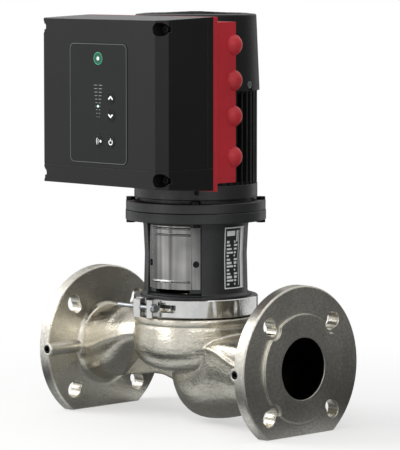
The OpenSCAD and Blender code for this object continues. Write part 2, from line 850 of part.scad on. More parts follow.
// Impeller and shaft seal
shaft_r = pump_shaft_d / 2;
hub_z0 = 12;
hub_z1 = 40;
blade_z = 26;
tip_z = 8;
imp_r = impeller_d / 2;
module impeller() {
  color([0.72, 0.7, 0.66])
    at_shaft()
      difference() {
        union() {
          // Eye ring and lower shroud
          rotate_extrude()
            polygon([
              [eye_r, wear_z + 0.6], [eye_outer, wear_z + 0.6], [eye_outer, eye_top],
              [imp_r, tip_z], [imp_r, tip_z + impeller_wall],
              [eye_outer + 1, eye_top + impeller_wall + 1], [eye_r, eye_top]
            ]);
          // Upper shroud and hub
          rotate_extrude()
            polygon(rounded(
              [
                [0, hub_z0], [12, hub_z0], [18, blade_z - 3], [imp_r, blade_z],
                [imp_r, blade_z + impeller_wall], [15, blade_z + impeller_wall + 2],
                [13, hub_z1], [0, hub_z1]
              ],
              [0, 1, 8, 0, 0, 3, 0, 0]
            ));
          // Blades, swept back and joined to both shrouds
          intersection() {
            for (i = [0:blade_count - 1])
              rotate([0, 0, i * 360 / blade_count])
                translate([8, 30, eye_top])
                  difference() {
                    cylinder(r = 34, h = blade_z - eye_top + 0.5);
                    translate([0, 0, -1]) cylinder(r = 34 - impeller_wall, h = 40);
                    translate([-50, -14, -1]) cube([100, 60, 40]);
                  }
            rotate_extrude()
              polygon([
                [20, eye_top + 4], [eye_r + 1, eye_top + 1], [imp_r, tip_z + 0.5],
                [imp_r, blade_z + 0.5], [20, blade_z - 2]
              ]);
          }
        }
        translate([0, 0, -20]) cylinder(r = shaft_r + fit, h = 80);
        for (a = [0:3])
          rotate([0, 0, 45 + a * 90])
            translate([21, 0, 15])
              cylinder(r = 2.5, h = 30);
      }
}

module impeller_nut() {
  color([0.8, 0.79, 0.76])
    at_shaft()
      difference() {
        union() {
          translate([0, 0, hub_z0 - 1.6]) cylinder(r = nut_af / 2 + 1.5, h = 1.6);
          translate([0, 0, hub_z0 - 9]) hexagon(nut_af, 8);
        }
        translate([0, 0, -10]) cylinder(r = nut_thread_d / 2 + fit, h = 40);
      }
}

shaft_top = 118;
module pump_shaft() {
  color([0.78, 0.77, 0.74])
    at_shaft()
      rotate_extrude()
        polygon([
          [0, hub_z0 - 12], [nut_thread_d / 2 - 1, hub_z0 - 12],
          [nut_thread_d / 2, hub_z0 - 11], [nut_thread_d / 2, hub_z0],
          [shaft_r, hub_z0], [shaft_r, shaft_top - 1],
          [shaft_r - 1, shaft_top], [0, shaft_top]
        ]);
}

seat_h = 5;
face_z = seal_top - seat_h - run;
module seal_bellows() {
  n = 4;
  pitch = (face_z - 6 - hub_z1) / n;
  color([0.12, 0.12, 0.12])
    at_shaft()
      rotate_extrude()
        polygon(concat(
          [[shaft_r + fit, hub_z1 + fit]],
          [
            for (i = [0:n - 1])
              each [
                [13.5, hub_z1 + fit + i * pitch],
                [13.5, hub_z1 + i * pitch + pitch * 0.45],
                [11, hub_z1 + i * pitch + pitch * 0.55],
                [11, hub_z1 + i * pitch + pitch * 0.9]
              ]
          ],
          [
            [14.5, face_z - 6], [14.5, face_z], [10.5, face_z], [10.5, face_z - 1],
            [shaft_r + fit, face_z - 1]
          ]
        ));
}

module seal_seat() {
  color([0.3, 0.3, 0.32])
    at_shaft()
      ring(shaft_r + 1, seal_bore_d / 2 - fit, seal_top - seat_h, seal_top - fit);
}

// Coupling between the two shafts
coupling_r = 26;
coupling_z0 = 86;
coupling_mid = 119;
coupling_z1 = 150;
motor_shaft_r = motor_shaft_d / 2;
split = 1;
coupling_bolt_x = 19;
coupling_rows = [93, 109, 127, 143];
module coupling_half(turn) {
  rotate([0, 0, window_middle + 90 + turn])
    difference() {
      translate([0, 0, coupling_z0])
        rotate_extrude()
          polygon(rounded(
            [
              [0, 0], [coupling_r, 0], [coupling_r, coupling_z1 - coupling_z0],
              [0, coupling_z1 - coupling_z0]
            ],
            [0, 1.5, 1.5, 0]
          ));
      translate([-40, -80 + split / 2, coupling_z0 - 5]) cube([80, 80, 80]);
      translate([0, 0, coupling_z0 - 5]) cylinder(r = shaft_r + fit, h = 100);
      translate([0, 0, coupling_mid]) cylinder(r = motor_shaft_r + fit, h = 60);
      for (z = coupling_rows, s = [-1, 1])
        translate([s * coupling_bolt_x, 0, z]) {
          rod_y(2.6, -40, 40);
          rod_y(4.6, 10, 40);
        }
    }
}

module coupling_half_front() {
  color([0.5, 0.5, 0.5]) at_shaft() coupling_half(180);
}

module coupling_half_rear() {
  color([0.5, 0.5, 0.5]) at_shaft() coupling_half(0);
}

module coupling_screws() {
  color([0.25, 0.25, 0.25])
    at_shaft()
      for (z = coupling_rows, s = [-1, 1])
        rotate([0, 0, window_middle + 90])
          translate([s * coupling_bolt_x, 0, z]) {
            difference() {
              union() {
                rod_y(2.5, -15, 10);
                rod_y(4.3, -15, -10 - fit);
              }
              translate([0, -15 - eps, 0])
                rotate([-90, 0, 0])
                  hexagon(4, 2.5);
            }
          }
}

// Motor
skirt_r = skirt_d / 2;
stator_bore = core_d / 2 + fit;
neck_r = 66;
drive_bearing = [motor_flange_z + 3.5, 15, 12.5, 26];
fan_bearing = [stator_top + 3, 14, 10, 23.5];
drain_angle = -44;
module drive_end_shield() {
  color([0.17, 0.17, 0.17])
    at_shaft()
      difference() {
        rotate_extrude()
          polygon(rounded(
            [
              [0, motor_flange_z - 4], [spigot_r, motor_flange_z - 4],
              [spigot_r, motor_flange_z], [flange_r - 0.5, motor_flange_z],
              [flange_r - 0.5, motor_flange_top], [neck_r, motor_flange_top],
              [neck_r, skirt_z], [skirt_r, skirt_z], [skirt_r, stator_z],
              [stator_bore, stator_z], [stator_bore, stator_z + 4], [0, stator_z + 4]
            ],
            [0, 0, 0, 1, 1, 0, 0, 1, 0.5, 0, 0, 0]
          ));
        translate([0, 0, 100]) cylinder(r = motor_shaft_r + 3, h = 200);
        translate([0, 0, drive_bearing[0]]) cylinder(r = drive_bearing[3] + fit, h = 100);
        translate([0, 0, drive_bearing[0] + drive_bearing[1]]) cylinder(r = 53, h = 100);
        for (a = bolt_angles(4))
          rotate([0, 0, a])
            translate([motor_bolt_circle / 2, 0, motor_flange_z - 10])
              cylinder(r = motor_bolt_d / 2 + 0.3, h = 21);
        rotate([0, 0, drain_angle])
          translate([0, 0, skirt_z + 9])
            rod_x(3 + fit, 60, 90);
      }
}

bolt_head_h = 4;
motor_nut_h = 3.2;
module motor_flange_bolts() {
  color([0.6, 0.6, 0.6])
    at_shaft()
      for (a = bolt_angles(4))
        rotate([0, 0, a])
          translate([motor_bolt_circle / 2, 0, stool_flange_z - bolt_head_h]) {
            rotate([0, 0, 30]) hexagon(motor_bolt_af, bolt_head_h);
            cylinder(
              r = motor_bolt_d / 2,
              h = motor_flange_top + motor_nut_h - stool_flange_z + bolt_head_h
            );
          }
}

module motor_flange_nuts() {
  color([0.6, 0.6, 0.6])
    at_shaft()
      for (a = bolt_angles(4))
        rotate([0, 0, a])
          translate([motor_bolt_circle / 2, 0, motor_flange_top])
            difference() {
              rotate([0, 0, 30]) hexagon(motor_bolt_af, motor_nut_h);
              translate([0, 0, -1]) cylinder(r = motor_bolt_d / 2 + fit, h = 10);
            }
}

module drain_plug() {
  color([0.1, 0.1, 0.1])
    at_shaft()
      rotate([0, 0, drain_angle])
        translate([0, 0, skirt_z + 9])
          difference() {
            rod_x(3, skirt_r - 8, skirt_r - 0.6);
            translate([skirt_r - 2.6, 0, 0])
              rotate([0, 90, 0])
                hexagon(3, 5);
          }
}

fin_r = fin_d / 2;
fin_root_r = fin_root_d / 2;
// Inside radius of the saddle by which the terminal box sits on the motor
saddle_r = max(fan_cover_d / 2, skirt_r, fin_r) + 0.6;
pad_half_angle = 28;
box_screw_x = 20;
box_screw_z = [stator_z + 26, stator_top - 20];
module stator_housing() {
  h = stator_top - stator_z;
  color([0.05, 0.05, 0.05])
    at_shaft()
      difference() {
        union() {
          translate([0, 0, stator_z])
            linear_extrude(h)
              union() {
                circle(r = fin_root_r);
                for (i = [0:fin_count - 1])
                  rotate([0, 0, (i + 0.5) * 360 / fin_count])
                    translate([0, -fin_t / 2])
                      square([fin_r, fin_t]);
              }
          for (z = [stator_z, stator_top - 3])
            translate([0, 0, z]) cylinder(r = fin_r - 2, h = 3);
          sector(
            fin_root_r - 1, saddle_r, stator_z + 7, stator_top - 5,
            -90 - pad_half_angle, -90 + pad_half_angle
          );
        }
        translate([0, 0, stator_z - 1]) cylinder(r = stator_bore + fit, h = h + 2);
        for (x = [-box_screw_x, box_screw_x], z = box_screw_z)
          translate([x, 0, z])
            rod_y(2.2, -90, -61);
      }
}

slot_ring_r = 46.5;
slot_r = 5.3;
core_z0 = stator_z + 14;
core_z1 = stator_top - 18;
module stator_core() {
  color([0.45, 0.45, 0.47])
    at_shaft()
      difference() {
        ring(core_bore_d / 2, core_d / 2, core_z0, core_z1);
        for (i = [0:slot_count - 1])
          rotate([0, 0, i * 360 / slot_count]) {
            translate([slot_ring_r, 0, core_z0 - 1]) cylinder(r = slot_r, h = 100);
            translate([core_bore_d / 2 - 2, -1.2, core_z0 - 1]) cube([8, 2.4, 100]);
          }
      }
}

module stator_windings() {
  end_h = 8;
  color([0.72, 0.42, 0.2])
    at_shaft() {
      for (z = [core_z0 - end_h - 1, core_z1 + 1])
        rotate_extrude()
          polygon(rounded(
            [
              [slot_ring_r - slot_r, z], [slot_ring_r + slot_r, z],
              [slot_ring_r + slot_r, z + end_h], [slot_ring_r - slot_r, z + end_h]
            ],
            [2, 2, 2, 2], 3
          ));
      for (i = [0:slot_count - 1])
        rotate([0, 0, i * 360 / slot_count])
          translate([slot_ring_r, 0, core_z0 - 3])
            cylinder(r = slot_r - 0.2, h = core_z1 - core_z0 + 6);
    }
}

rotor_r = core_bore_d / 2 - air_gap;
rotor_shaft_r = 14;
magnet = [21, 4, core_z1 - core_z0 - 4];
magnet_r = 30;
module magnet_blocks(gap) {
  for (i = [0:magnet_count - 1])
    rotate([0, 0, i * 360 / magnet_count])
      translate([magnet_r - magnet[1] / 2 - gap, -magnet[0] / 2 - gap, core_z0 + 2 - gap])
        cube([magnet[1] + 2 * gap, magnet[0] + 2 * gap, magnet[2] + 2 * gap]);
}

module rotor_core() {
  color([0.5, 0.5, 0.52])
    at_shaft()
      difference() {
        ring(rotor_shaft_r + fit, rotor_r, core_z0, core_z1);
        magnet_blocks(fit);
      }
}

module rotor_magnets() {
  color([0.3, 0.3, 0.33]) at_shaft() magnet_blocks(0);
}

fan_z = fan_bearing[0] + fan_bearing[1] + 20;
fan_h = fan_cover_z - fan_cover_wall - 18.8 - fan_z;
fan_shaft_r = 8;
module motor_shaft() {
  d = drive_bearing;
  f = fan_bearing;
  color([0.7, 0.7, 0.7])
    at_shaft()
      rotate_extrude()
        polygon([
          [0, coupling_mid + 2], [motor_shaft_r - 1, coupling_mid + 2],
          [motor_shaft_r, coupling_mid + 3], [motor_shaft_r, d[0] - 2], [d[2], d[0] - 2],
          [d[2], d[0] + d[1]], [rotor_shaft_r, d[0] + d[1]], [rotor_shaft_r, f[0]],
          [f[2], f[0]], [f[2], f[0] + f[1]], [fan_shaft_r, f[0] + f[1]],
          [fan_shaft_r, fan_z + fan_h + 4], [0, fan_z + fan_h + 4]
        ]);
}

// Ball bearings: height, width, bore radius and outside radius
module bearing_outer(b) {
  mid = (b[2] + b[3]) / 2;
  ball = (b[3] - b[2]) * 0.29;
  difference() {
    ring(mid + ball * 0.72, b[3], b[0], b[0] + b[1]);
    translate([0, 0, b[0] + b[1] / 2])
      rotate_extrude()
        translate([mid, 0])
          circle(r = ball + fit);
  }
  for (i = [0:7])
    rotate([0, 0, i * 45])
      translate([mid, 0, b[0] + b[1] / 2])
        sphere(r = ball, $fn = 32);
}

module bearing_inner(b) {
  mid = (b[2] + b[3]) / 2;
  ball = (b[3] - b[2]) * 0.29;
  difference() {
    ring(b[2] + fit, mid - ball * 0.72, b[0], b[0] + b[1]);
    translate([0, 0, b[0] + b[1] / 2])
      rotate_extrude()
        translate([mid, 0])
          circle(r = ball + run);
  }
}

module drive_bearing_outer() {
  color([0.6, 0.6, 0.62]) at_shaft() bearing_outer(drive_bearing);
}

module drive_bearing_inner() {
  color([0.65, 0.65, 0.67]) at_shaft() bearing_inner(drive_bearing);
}

module fan_bearing_outer() {
  color([0.6, 0.6, 0.62]) at_shaft() bearing_outer(fan_bearing);
}

module fan_bearing_inner() {
  color([0.65, 0.65, 0.67]) at_shaft() bearing_inner(fan_bearing);
}

fan_wall_r = fan_cover_d / 2;
fan_top_r = fan_cover_top_d / 2;
cover_screw_z = stator_top + 7;
cover_screw_angle = 13;
shield_rim_h = 16;
// Outside radius of the fan cover at a height
function fan_cover_r(z) =
  fan_wall_r + (fan_top_r - fan_wall_r) * (z - stator_top) / (fan_cover_z - stator_top);
shield_r = fan_cover_r(stator_top + shield_rim_h) - fan_cover_wall - fit;
module fan_end_shield() {
  b = fan_bearing;
  color([0.12, 0.12, 0.12])
    at_shaft()
      difference() {
        union() {
          translate([0, 0, stator_top - 4]) cylinder(r = stator_bore, h = 5);
          translate([0, 0, stator_top]) cylinder(r = shield_r, h = shield_rim_h);
          translate([0, 0, stator_top]) cylinder(r = b[3] + 6, h = b[0] + b[1] + 3 - stator_top);
        }
        translate([0, 0, stator_top - 5]) cylinder(r = b[3] + fit, h = b[0] + b[1] - stator_top + 5);
        translate([0, 0, stator_top - 5]) cylinder(r = b[2] + 1, h = 60);
        translate([0, 0, stator_top - 5]) cylinder(r = 50, h = 6);
        ring(b[3] + 6, shield_r - 5, stator_top + 5, stator_top + 40);
        for (i = [0:3])
          rotate([0, 0, cover_screw_angle + i * 90])
            translate([0, 0, cover_screw_z])
              rod_x(1.9, shield_r - 12, 90);
      }
}

module fan() {
  color([0.1, 0.1, 0.1])
    at_shaft()
      difference() {
        union() {
          translate([0, 0, fan_z]) cylinder(r = fan_d / 2, h = 2);
          translate([0, 0, fan_z]) cylinder(r = 15, h = fan_h);
          for (i = [0:fan_blades - 1])
            rotate([0, 0, i * 360 / fan_blades])
              translate([13, -1, fan_z])
                cube([fan_d / 2 - 14, 2, fan_h - 2]);
        }
        translate([0, 0, fan_z - 1]) cylinder(r = fan_shaft_r + fit, h = fan_h + 2);
      }
}

// Fan cover with an air inlet grille of rings and ribs
grille_r = fan_top_r - 9;
grille_rings = 6;
module fan_cover() {
  r0 = fan_wall_r;
  r1 = fan_top_r;
  w = fan_cover_wall;
  z0 = stator_top;
  z1 = fan_cover_z;
  gap = grille_r / (grille_rings + 0.5);
  color([0.15, 0.15, 0.15])
    at_shaft()
      difference() {
        union() {
          difference() {
            rotate_extrude()
              polygon(rounded(
                [
                  [0, z0], [r0, z0], [r1, z1], [grille_r, z1 + 1], [grille_r, z1 - w],
                  [0, z1 - w]
                ],
                [0, 0, 2, 0, 0, 0]
              ));
            translate([0, 0, z0 - 1])
              cylinder(r1 = r0 - w + (r0 - r1) / (z1 - z0), r2 = r1 - w, h = z1 - z0 - w + 1);
            translate([0, 0, z1 - 10]) cylinder(r = grille_r, h = 30);
          }
          for (i = [1:grille_rings])
            ring(
              i * gap - 1.2, i * gap + 1.2,
              z1 - w, z1 + 0.5 + grille_crown * (1 - i * gap / grille_r)
            );
          for (a = [0:30:150])
            rotate([0, 0, a + 15])
              translate([-grille_r - 1, -1, z1 - w])
                cube([2 * grille_r + 2, 2, w - 0.2]);
        }
        for (i = [0:3])
          rotate([0, 0, cover_screw_angle + i * 90])
            translate([0, 0, cover_screw_z]) {
              rod_x(4.6, r1 - w - 3, 90);
              translate([r1 - w - 3, -4.6, -20]) cube([20, 9.2, 20]);
            }
      }
}

module fan_cover_screws() {
  color([0.5, 0.5, 0.5])
    at_shaft()
      for (i = [0:3])
        rotate([0, 0, cover_screw_angle + i * 90])
          translate([shield_r + fit, 0, cover_screw_z]) {
            difference() {
              union() {
                rod_x(1.85, -9, 1);
                rod_x(4.2, 0, 2.4);
              }
              translate([1.2, -0.5, -5]) cube([5, 1, 10]);
            }
          }
}

// Control box
plan_front = box_w / 2 - 1;
lip_top = box_top + box_draft * 0.6;
lip_bottom = box_bottom - box_draft - 1;
lip_w = box_w - 1;
wing_w = box_w - 9;
wing_top = box_top - 3;
wing_bottom = box_bottom + 2.5;
screw_x = box_w / 2 - 7.8;
screw_zs = [box_bottom + 9.5, box_top - 9.7];
recess_y = box_front - 15;
entry_zs = [for (z = [28.2, 73.7, 113.2, 152.7]) wing_bottom + z];
entry_y = -wing_rear - 2;
entry_out = 0.3;
entry_hole_r = 8;
dome_h = 7;
dome_r = (pow(entry_d / 2 - 0.2, 2) + pow(dome_h, 2)) / 2 / dome_h;
post_x = wing_w / 2 - 15.3;
post_zs = [wing_bottom + 22, wing_top - 22];
board_t = 1.6;
board_y = -box_split - 9.1;
seam_w = 0.8;
seam_deep = 0.6;
seam_z = box_bottom + 19.6;
seam_y = -box_split - 9;
module box_plan(grow) {
  w = box_w / 2 - grow;
  f = plan_front - grow;
  polygon([
    [-w, -box_split + 1], [-f, -box_front + box_bevel + grow * 0.4],
    [-f + box_bevel - grow * 0.4, -box_front + grow], [f - box_bevel + grow * 0.4, -box_front + grow],
    [f, -box_front + box_bevel + grow * 0.4], [w, -box_split + 1]
  ]);
}

module box_side(grow) {
  polygon([
    [-box_split + 1, box_bottom - box_draft + grow], [-box_front + grow, box_bottom + grow],
    [-box_front + grow, box_top - grow], [-box_split + 1, lip_top - grow]
  ]);
}

module box_volume(grow) {
  intersection() {
    translate([0, 0, lip_bottom - 20]) linear_extrude(lip_top - lip_bottom + 40) box_plan(grow);
    rotate([90, 0, 90])
      translate([0, 0, -box_w])
        linear_extrude(2 * box_w)
          box_side(grow);
  }
}

// A plate with round corners that faces -Y: width, height, corner radius, front and rear plane
module plate(w, h, r, y0, y1) {
  translate([0, y1, panel_z])
    rotate([90, 0, 0])
      linear_extrude(y1 - y0)
        polygon(rounded(
          [[-w / 2, -h / 2], [w / 2, -h / 2], [w / 2, h / 2], [-w / 2, h / 2]],
          [r, r, r, r]
        ));
}

module terminal_box() {
  s = saddle_r;
  w = wing_w / 2;
  color([0.6, 0.13, 0.15])
    at_shaft()
      difference() {
        union() {
          translate([-w, -box_split, wing_bottom])
            cube([2 * w, box_split - wing_rear, wing_top - wing_bottom]);
          translate([-lip_w / 2, -box_split, lip_bottom])
            cube([lip_w, lip_t, lip_top - lip_bottom]);
          intersection() {
            translate([0, 0, wing_bottom]) cylinder(r = s + box_wall, h = wing_top - wing_bottom);
            translate([-reach, -reach, 0]) cube([2 * reach, reach - wing_rear, reach]);
          }
          for (z = entry_zs)
            translate([0, entry_y, z])
              rod_x(entry_d / 2, w - 14, w + entry_out);
          for (x = [-post_x, post_x], z = post_zs)
            translate([x, 0, z])
              rod_y(4, board_y, -box_split + 1);
          for (x = [-box_screw_x, box_screw_x], z = box_screw_z)
            translate([x, 0, z])
              rod_y(6, -s - box_wall - 1, -s + 6);
        }
        difference() {
          translate([-w + box_wall, -box_split - 20, wing_bottom + box_wall])
            cube([
              2 * (w - box_wall), box_split + 20 - wing_rear - box_wall,
              wing_top - wing_bottom - 2 * box_wall
            ]);
          cylinder(r = s + box_wall, h = reach);
          for (z = entry_zs)
            translate([0, entry_y, z])
              rod_x(entry_d / 2, w - 14, w);
          for (x = [-screw_x, screw_x], z = screw_zs)
            translate([x, 0, z])
              rod_y(6, -box_split, -box_split + 24);
          for (x = [-post_x, post_x], z = post_zs)
            translate([x, 0, z])
              rod_y(4, board_y, -wing_rear);
          for (x = [-box_screw_x, box_screw_x], z = box_screw_z)
            translate([x, 0, z])
              rod_y(6, -s - box_wall - 1, -60);
        }
        cylinder(r = s + fit, h = reach);
        for (x = [-screw_x, screw_x], z = screw_zs)
          translate([x, 0, z])
            rod_y(2.2, -box_split - 1, -box_split + 20);
        for (x = [-box_screw_x, box_screw_x], z = box_screw_z)
          translate([x, 0, z])
            rod_y(2.7, -100, -60);
        for (z = entry_zs)
          translate([0, entry_y, z])
            rod_x(entry_hole_r + fit, w - 5, w + 5);
        gasket_ring(fit);
      }
}

module gasket_ring(gap) {
  w = lip_w - 3.2;
  h = lip_top - lip_bottom - 4.5;
  zm = (lip_top + lip_bottom) / 2 + 0.5;
  translate([0, -box_split + 1.5 + gap, 0])
    rotate([90, 0, 0])
      linear_extrude(1.5 + gap + (gap > 0 ? 1 : 0))
        difference() {
          translate([-w / 2 - gap, zm - h / 2 - gap]) square([w + 2 * gap, h + 2 * gap]);
          translate([-w / 2 + 1.5 + gap, zm - h / 2 + 1.5 + gap])
            square([w - 3 - 2 * gap, h - 3 - 2 * gap]);
        }
}

module cover_gasket() {
  color([0.05, 0.05, 0.05]) at_shaft() gasket_ring(0);
}

module terminal_box_screws() {
  y = -saddle_r - box_wall - 1;
  color([0.6, 0.6, 0.6])
    at_shaft()
      for (x = [-box_screw_x, box_screw_x], z = box_screw_z)
        translate([x, 0, z])
          difference() {
            union() {
              rod_y(2, y, -62);
              rod_y(4.2, y - 3.2, y);
            }
            translate([0, y - 3.2 - eps, 0])
              rotate([-90, 0, 0])
                hexagon(3.5, 2);
          }
}

module cable_entry_plugs() {
  w = wing_w / 2 + entry_out;
  r = entry_d / 2 - 0.2;
  color([0.65, 0.12, 0.14])
    at_shaft()
      for (z = entry_zs)
        translate([w, entry_y, z]) {
          rod_x(entry_hole_r, -4.5, 1);
          rotate([0, 90, 0])
            rotate_extrude()
              intersection() {
                translate([0, dome_h - dome_r]) circle(r = dome_r);
                translate([0, fit]) square([r, dome_h]);
              }
        }
}

block_w = 11;
block_pitch = 10;
block_x = wing_w / 2 - 17.3 - block_w;
block_z = entry_zs[0] + 6;
module terminal_block() {
  color([0.75, 0.75, 0.72])
    at_shaft()
      difference() {
        translate([block_x, -wing_rear - box_wall - 16, block_z])
          cube([block_w, 16 - fit, 5 * block_pitch]);
        for (i = [0:4])
          translate([block_x + block_w / 2, 0, block_z + (i + 0.5) * block_pitch])
            rod_y(2.4, -60, -wing_rear - box_wall - 8);
      }
}

module power_board() {
  w = wing_w - 18.6;
  z0 = wing_bottom + 6;
  z1 = wing_top - 6;
  color([0.1, 0.35, 0.18])
    at_shaft() {
      translate([-w / 2, board_y - board_t - fit, z0]) cube([w, board_t, z1 - z0]);
      for (x = [-55, -20, 15])
        translate([x, 0, z1 - 48])
          rod_y(13, board_y - 40, board_y - 1);
      translate([-60, board_y - 26, z0 + 18]) cube([50, 25, 45]);
      translate([20, board_y - 20, z0 + 23]) cube([40, 19, 60]);
    }
}

module control_cover() {
  color([0.13, 0.13, 0.13])
    at_shaft()
      difference() {
        union() {
          difference() {
            box_volume(0);
            box_volume(cover_wall);
          }
          intersection() {
            box_volume(0);
            for (x = [-screw_x, screw_x], z = screw_zs)
              translate([x, 0, z])
                rod_y(recess_d / 2 + 1.5, -box_front, -box_split - 26);
          }
          intersection() {
            box_volume(0);
            for (x = [-screw_x, screw_x], z = screw_zs)
              translate([x, 0, z])
                rod_y(5.5, -box_front, -box_split);
          }
        }
        translate([-reach, -box_split, 0]) cube([2 * reach, reach, reach]);
        for (x = [-screw_x, screw_x], z = screw_zs)
          translate([x, 0, z]) {
            rod_y(recess_d / 2, -box_front - 5, -recess_y);
            rod_y(2.7, -box_front, -box_split + 1);
          }
        plate(panel_w + 2 * fit, panel_h + 2 * fit, panel_r, -box_front - 1, -box_front + 1.1);
        translate([-key_reach, -box_front - 1, key_places[2][1] - key_reach])
          cube([key_x + 2 * key_reach, 12, key_places[0][1] - key_places[2][1] + 2 * key_reach]);
        // Seams near the bottom and the rear
        difference() {
          union() {
            translate([-reach, -reach, seam_z]) cube([2 * reach, reach, seam_w]);
            translate([-reach, seam_y, seam_z]) cube([2 * reach, seam_w, reach]);
          }
          box_volume(seam_deep);
        }
        translate([lens_x, 0, lens_z]) rod_y(lens_r + 0.4, -box_front - 1, -box_front + 10);
      }
}

module cover_screws() {
  color([0.3, 0.3, 0.3])
    at_shaft()
      for (x = [-screw_x, screw_x], z = screw_zs)
        translate([x, 0, z])
          difference() {
            union() {
              rod_y(2.1, -recess_y, -box_split + 16);
              rod_y(4.5, -recess_y - 3.5, -recess_y);
            }
            translate([0, -recess_y - 3.5 - eps, 0])
              rotate([-90, 0, 0])
                hexagon(4, 2);
          }
}

// Display, status light and buttons
lens_x = 0;
lens_z = panel_z + 49.8;
lens_r = 5.5;
panel_front = -box_front - 0.5;
panel_back = -box_front + 1.1 - fit;
key_disc_t = 0.8;
// The keypad board lies behind the cover's wall and the travel of the keys
board_front = max(
  -box_front + cover_wall + 0.1,
  panel_back + run + key_disc_t + button_travel + run
);
key_x = 20.5;
key_reach = button_d / 2 + 5.8;
key_places = [for (k = [[key_x, 6.8], [key_x, -13.2], [0, -41.7], [key_x, -41.7]]) k + [0, panel_z]];
module display_panel() {
  color([0.22, 0.22, 0.22])
    at_shaft()
      difference() {
        plate(panel_w, panel_h, panel_r, panel_front, panel_back);
        for (k = key_places)
          translate([k[0], 0, k[1]])
            rod_y(button_d / 2 + run, panel_front - 1, panel_back + 1);
        translate([lens_x, 0, lens_z]) rod_y(lens_r + fit, panel_front - 1, panel_back + 1);
      }
}

module status_lens() {
  color([0.2, 0.75, 0.5])
    at_shaft()
      translate([lens_x, 0, lens_z])
        rod_y(lens_r, panel_front - 0.2, board_front - fit);
}

module control_board() {
  color([0.1, 0.4, 0.2])
    at_shaft()
      translate([-panel_w / 2 + 2.5, board_front, panel_z - panel_h / 2 + 3.7])
        cube([panel_w - 5, board_t, panel_h - 7.4]);
}

module button(i) {
  k = key_places[i];
  at_shaft()
    translate([k[0], 0, k[1]]) {
      rod_y(button_d / 2, panel_front - 0.4, panel_back + run + eps);
      rod_y(button_d / 2 + 1, panel_back + run, panel_back + run + key_disc_t);
    }
}

module button_up() {
  color([0.25, 0.25, 0.25]) button(0);
}

module button_down() {
  color([0.25, 0.25, 0.25]) button(1);
}

module button_wireless() {
  color([0.25, 0.25, 0.25]) button(2);
}

module button_power() {
  color([0.25, 0.25, 0.25]) button(3);
}

pump_housing();
wear_ring();
tapping_plugs();
seal_cover();
cover_o_ring();
clamp_band();
clamp_trunnion();
clamp_bolt();
motor_stool();
front_coupling_guard();
rear_coupling_guard();
guard_screws();
impeller();
impeller_nut();
pump_shaft();
seal_bellows();
seal_seat();
coupling_half_front();
coupling_half_rear();
coupling_screws();
drive_end_shield();
motor_flange_bolts();
motor_flange_nuts();
drain_plug();
stator_housing();
stator_core();
stator_windings();
rotor_core();
rotor_magnets();
motor_shaft();
drive_bearing_outer();
drive_bearing_inner();
fan_bearing_outer();
fan_bearing_inner();
fan_end_shield();
fan();
fan_cover();
fan_cover_screws();
terminal_box();
terminal_box_screws();
cable_entry_plugs();
terminal_block();
power_board();
cover_gasket();
control_cover();
cover_screws();
control_board();
display_panel();
status_lens();
button_up();
button_down();
button_wireless();
button_power();
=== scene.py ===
# %% [markdown]
# # An in-line pump, dressed for a product photograph
# The solids come from the CAD frame: this script never moves them. It gives each one a finish,
# adds the small things that are printed, glued or moulded on, and sets up the studio.
# The shaft stands on x = -0.17 m, the suction flange's face is at x = 0, and the box faces -Y.

# %% Load the frame
import json
from math import radians, degrees, atan2, sin, cos
import bpy
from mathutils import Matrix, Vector


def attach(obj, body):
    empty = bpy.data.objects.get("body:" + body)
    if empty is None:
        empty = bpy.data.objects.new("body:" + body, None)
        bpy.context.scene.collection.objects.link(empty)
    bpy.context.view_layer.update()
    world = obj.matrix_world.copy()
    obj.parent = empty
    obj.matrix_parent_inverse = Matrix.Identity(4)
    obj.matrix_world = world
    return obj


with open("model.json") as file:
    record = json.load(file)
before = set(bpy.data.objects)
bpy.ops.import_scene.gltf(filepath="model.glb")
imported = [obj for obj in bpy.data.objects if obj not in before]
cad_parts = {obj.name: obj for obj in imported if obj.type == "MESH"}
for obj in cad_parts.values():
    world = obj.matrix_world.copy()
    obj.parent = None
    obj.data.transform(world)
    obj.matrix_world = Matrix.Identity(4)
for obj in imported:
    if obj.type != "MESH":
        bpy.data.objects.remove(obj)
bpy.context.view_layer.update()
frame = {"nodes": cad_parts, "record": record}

SHAFT_X = -0.17
nodes = frame["nodes"]


def mm(value):
    """Millimetres as Blender's metres."""
    return value / 1000


def at_pump(x, y, z):
    """A point given in millimetres from the shaft and the port axis."""
    return Vector((SHAFT_X + mm(x), mm(y), mm(z)))


def deselect():
    """Leave edit mode and select nothing, so that the next step touches only its own object."""
    if bpy.context.object and bpy.context.object.mode != "OBJECT":
        bpy.ops.object.mode_set(mode="OBJECT")
    bpy.ops.object.select_all(action="DESELECT")


# %% Measures of the CAD pieces that the small ones sit on, in millimetres as at_pump takes them
PANEL_Y = -151.9
PANEL_MIDDLE_Z, PANEL_WIDTH, PANEL_HEIGHT, PANEL_CORNER = 294.2, 93, 133.5, 7
LIGHT_Y, LIGHT_Z = -152, 344
KEY_Y = -152.3
KEYS = {"up": (20.5, 301), "down": (20.5, 281), "power": (20.5, 252), "wireless": (4.2, 252.5)}
FLOOR_Z = -75
print("panel", PANEL_WIDTH, "x", PANEL_HEIGHT, "mm with", len(KEYS), "keys")

# %% [markdown]
# ## The camera
# The photograph looks at the pump from its front right, almost level, through a long lens. The
# place, direction and lens below were fitted to the corners and rims that the photograph shows.

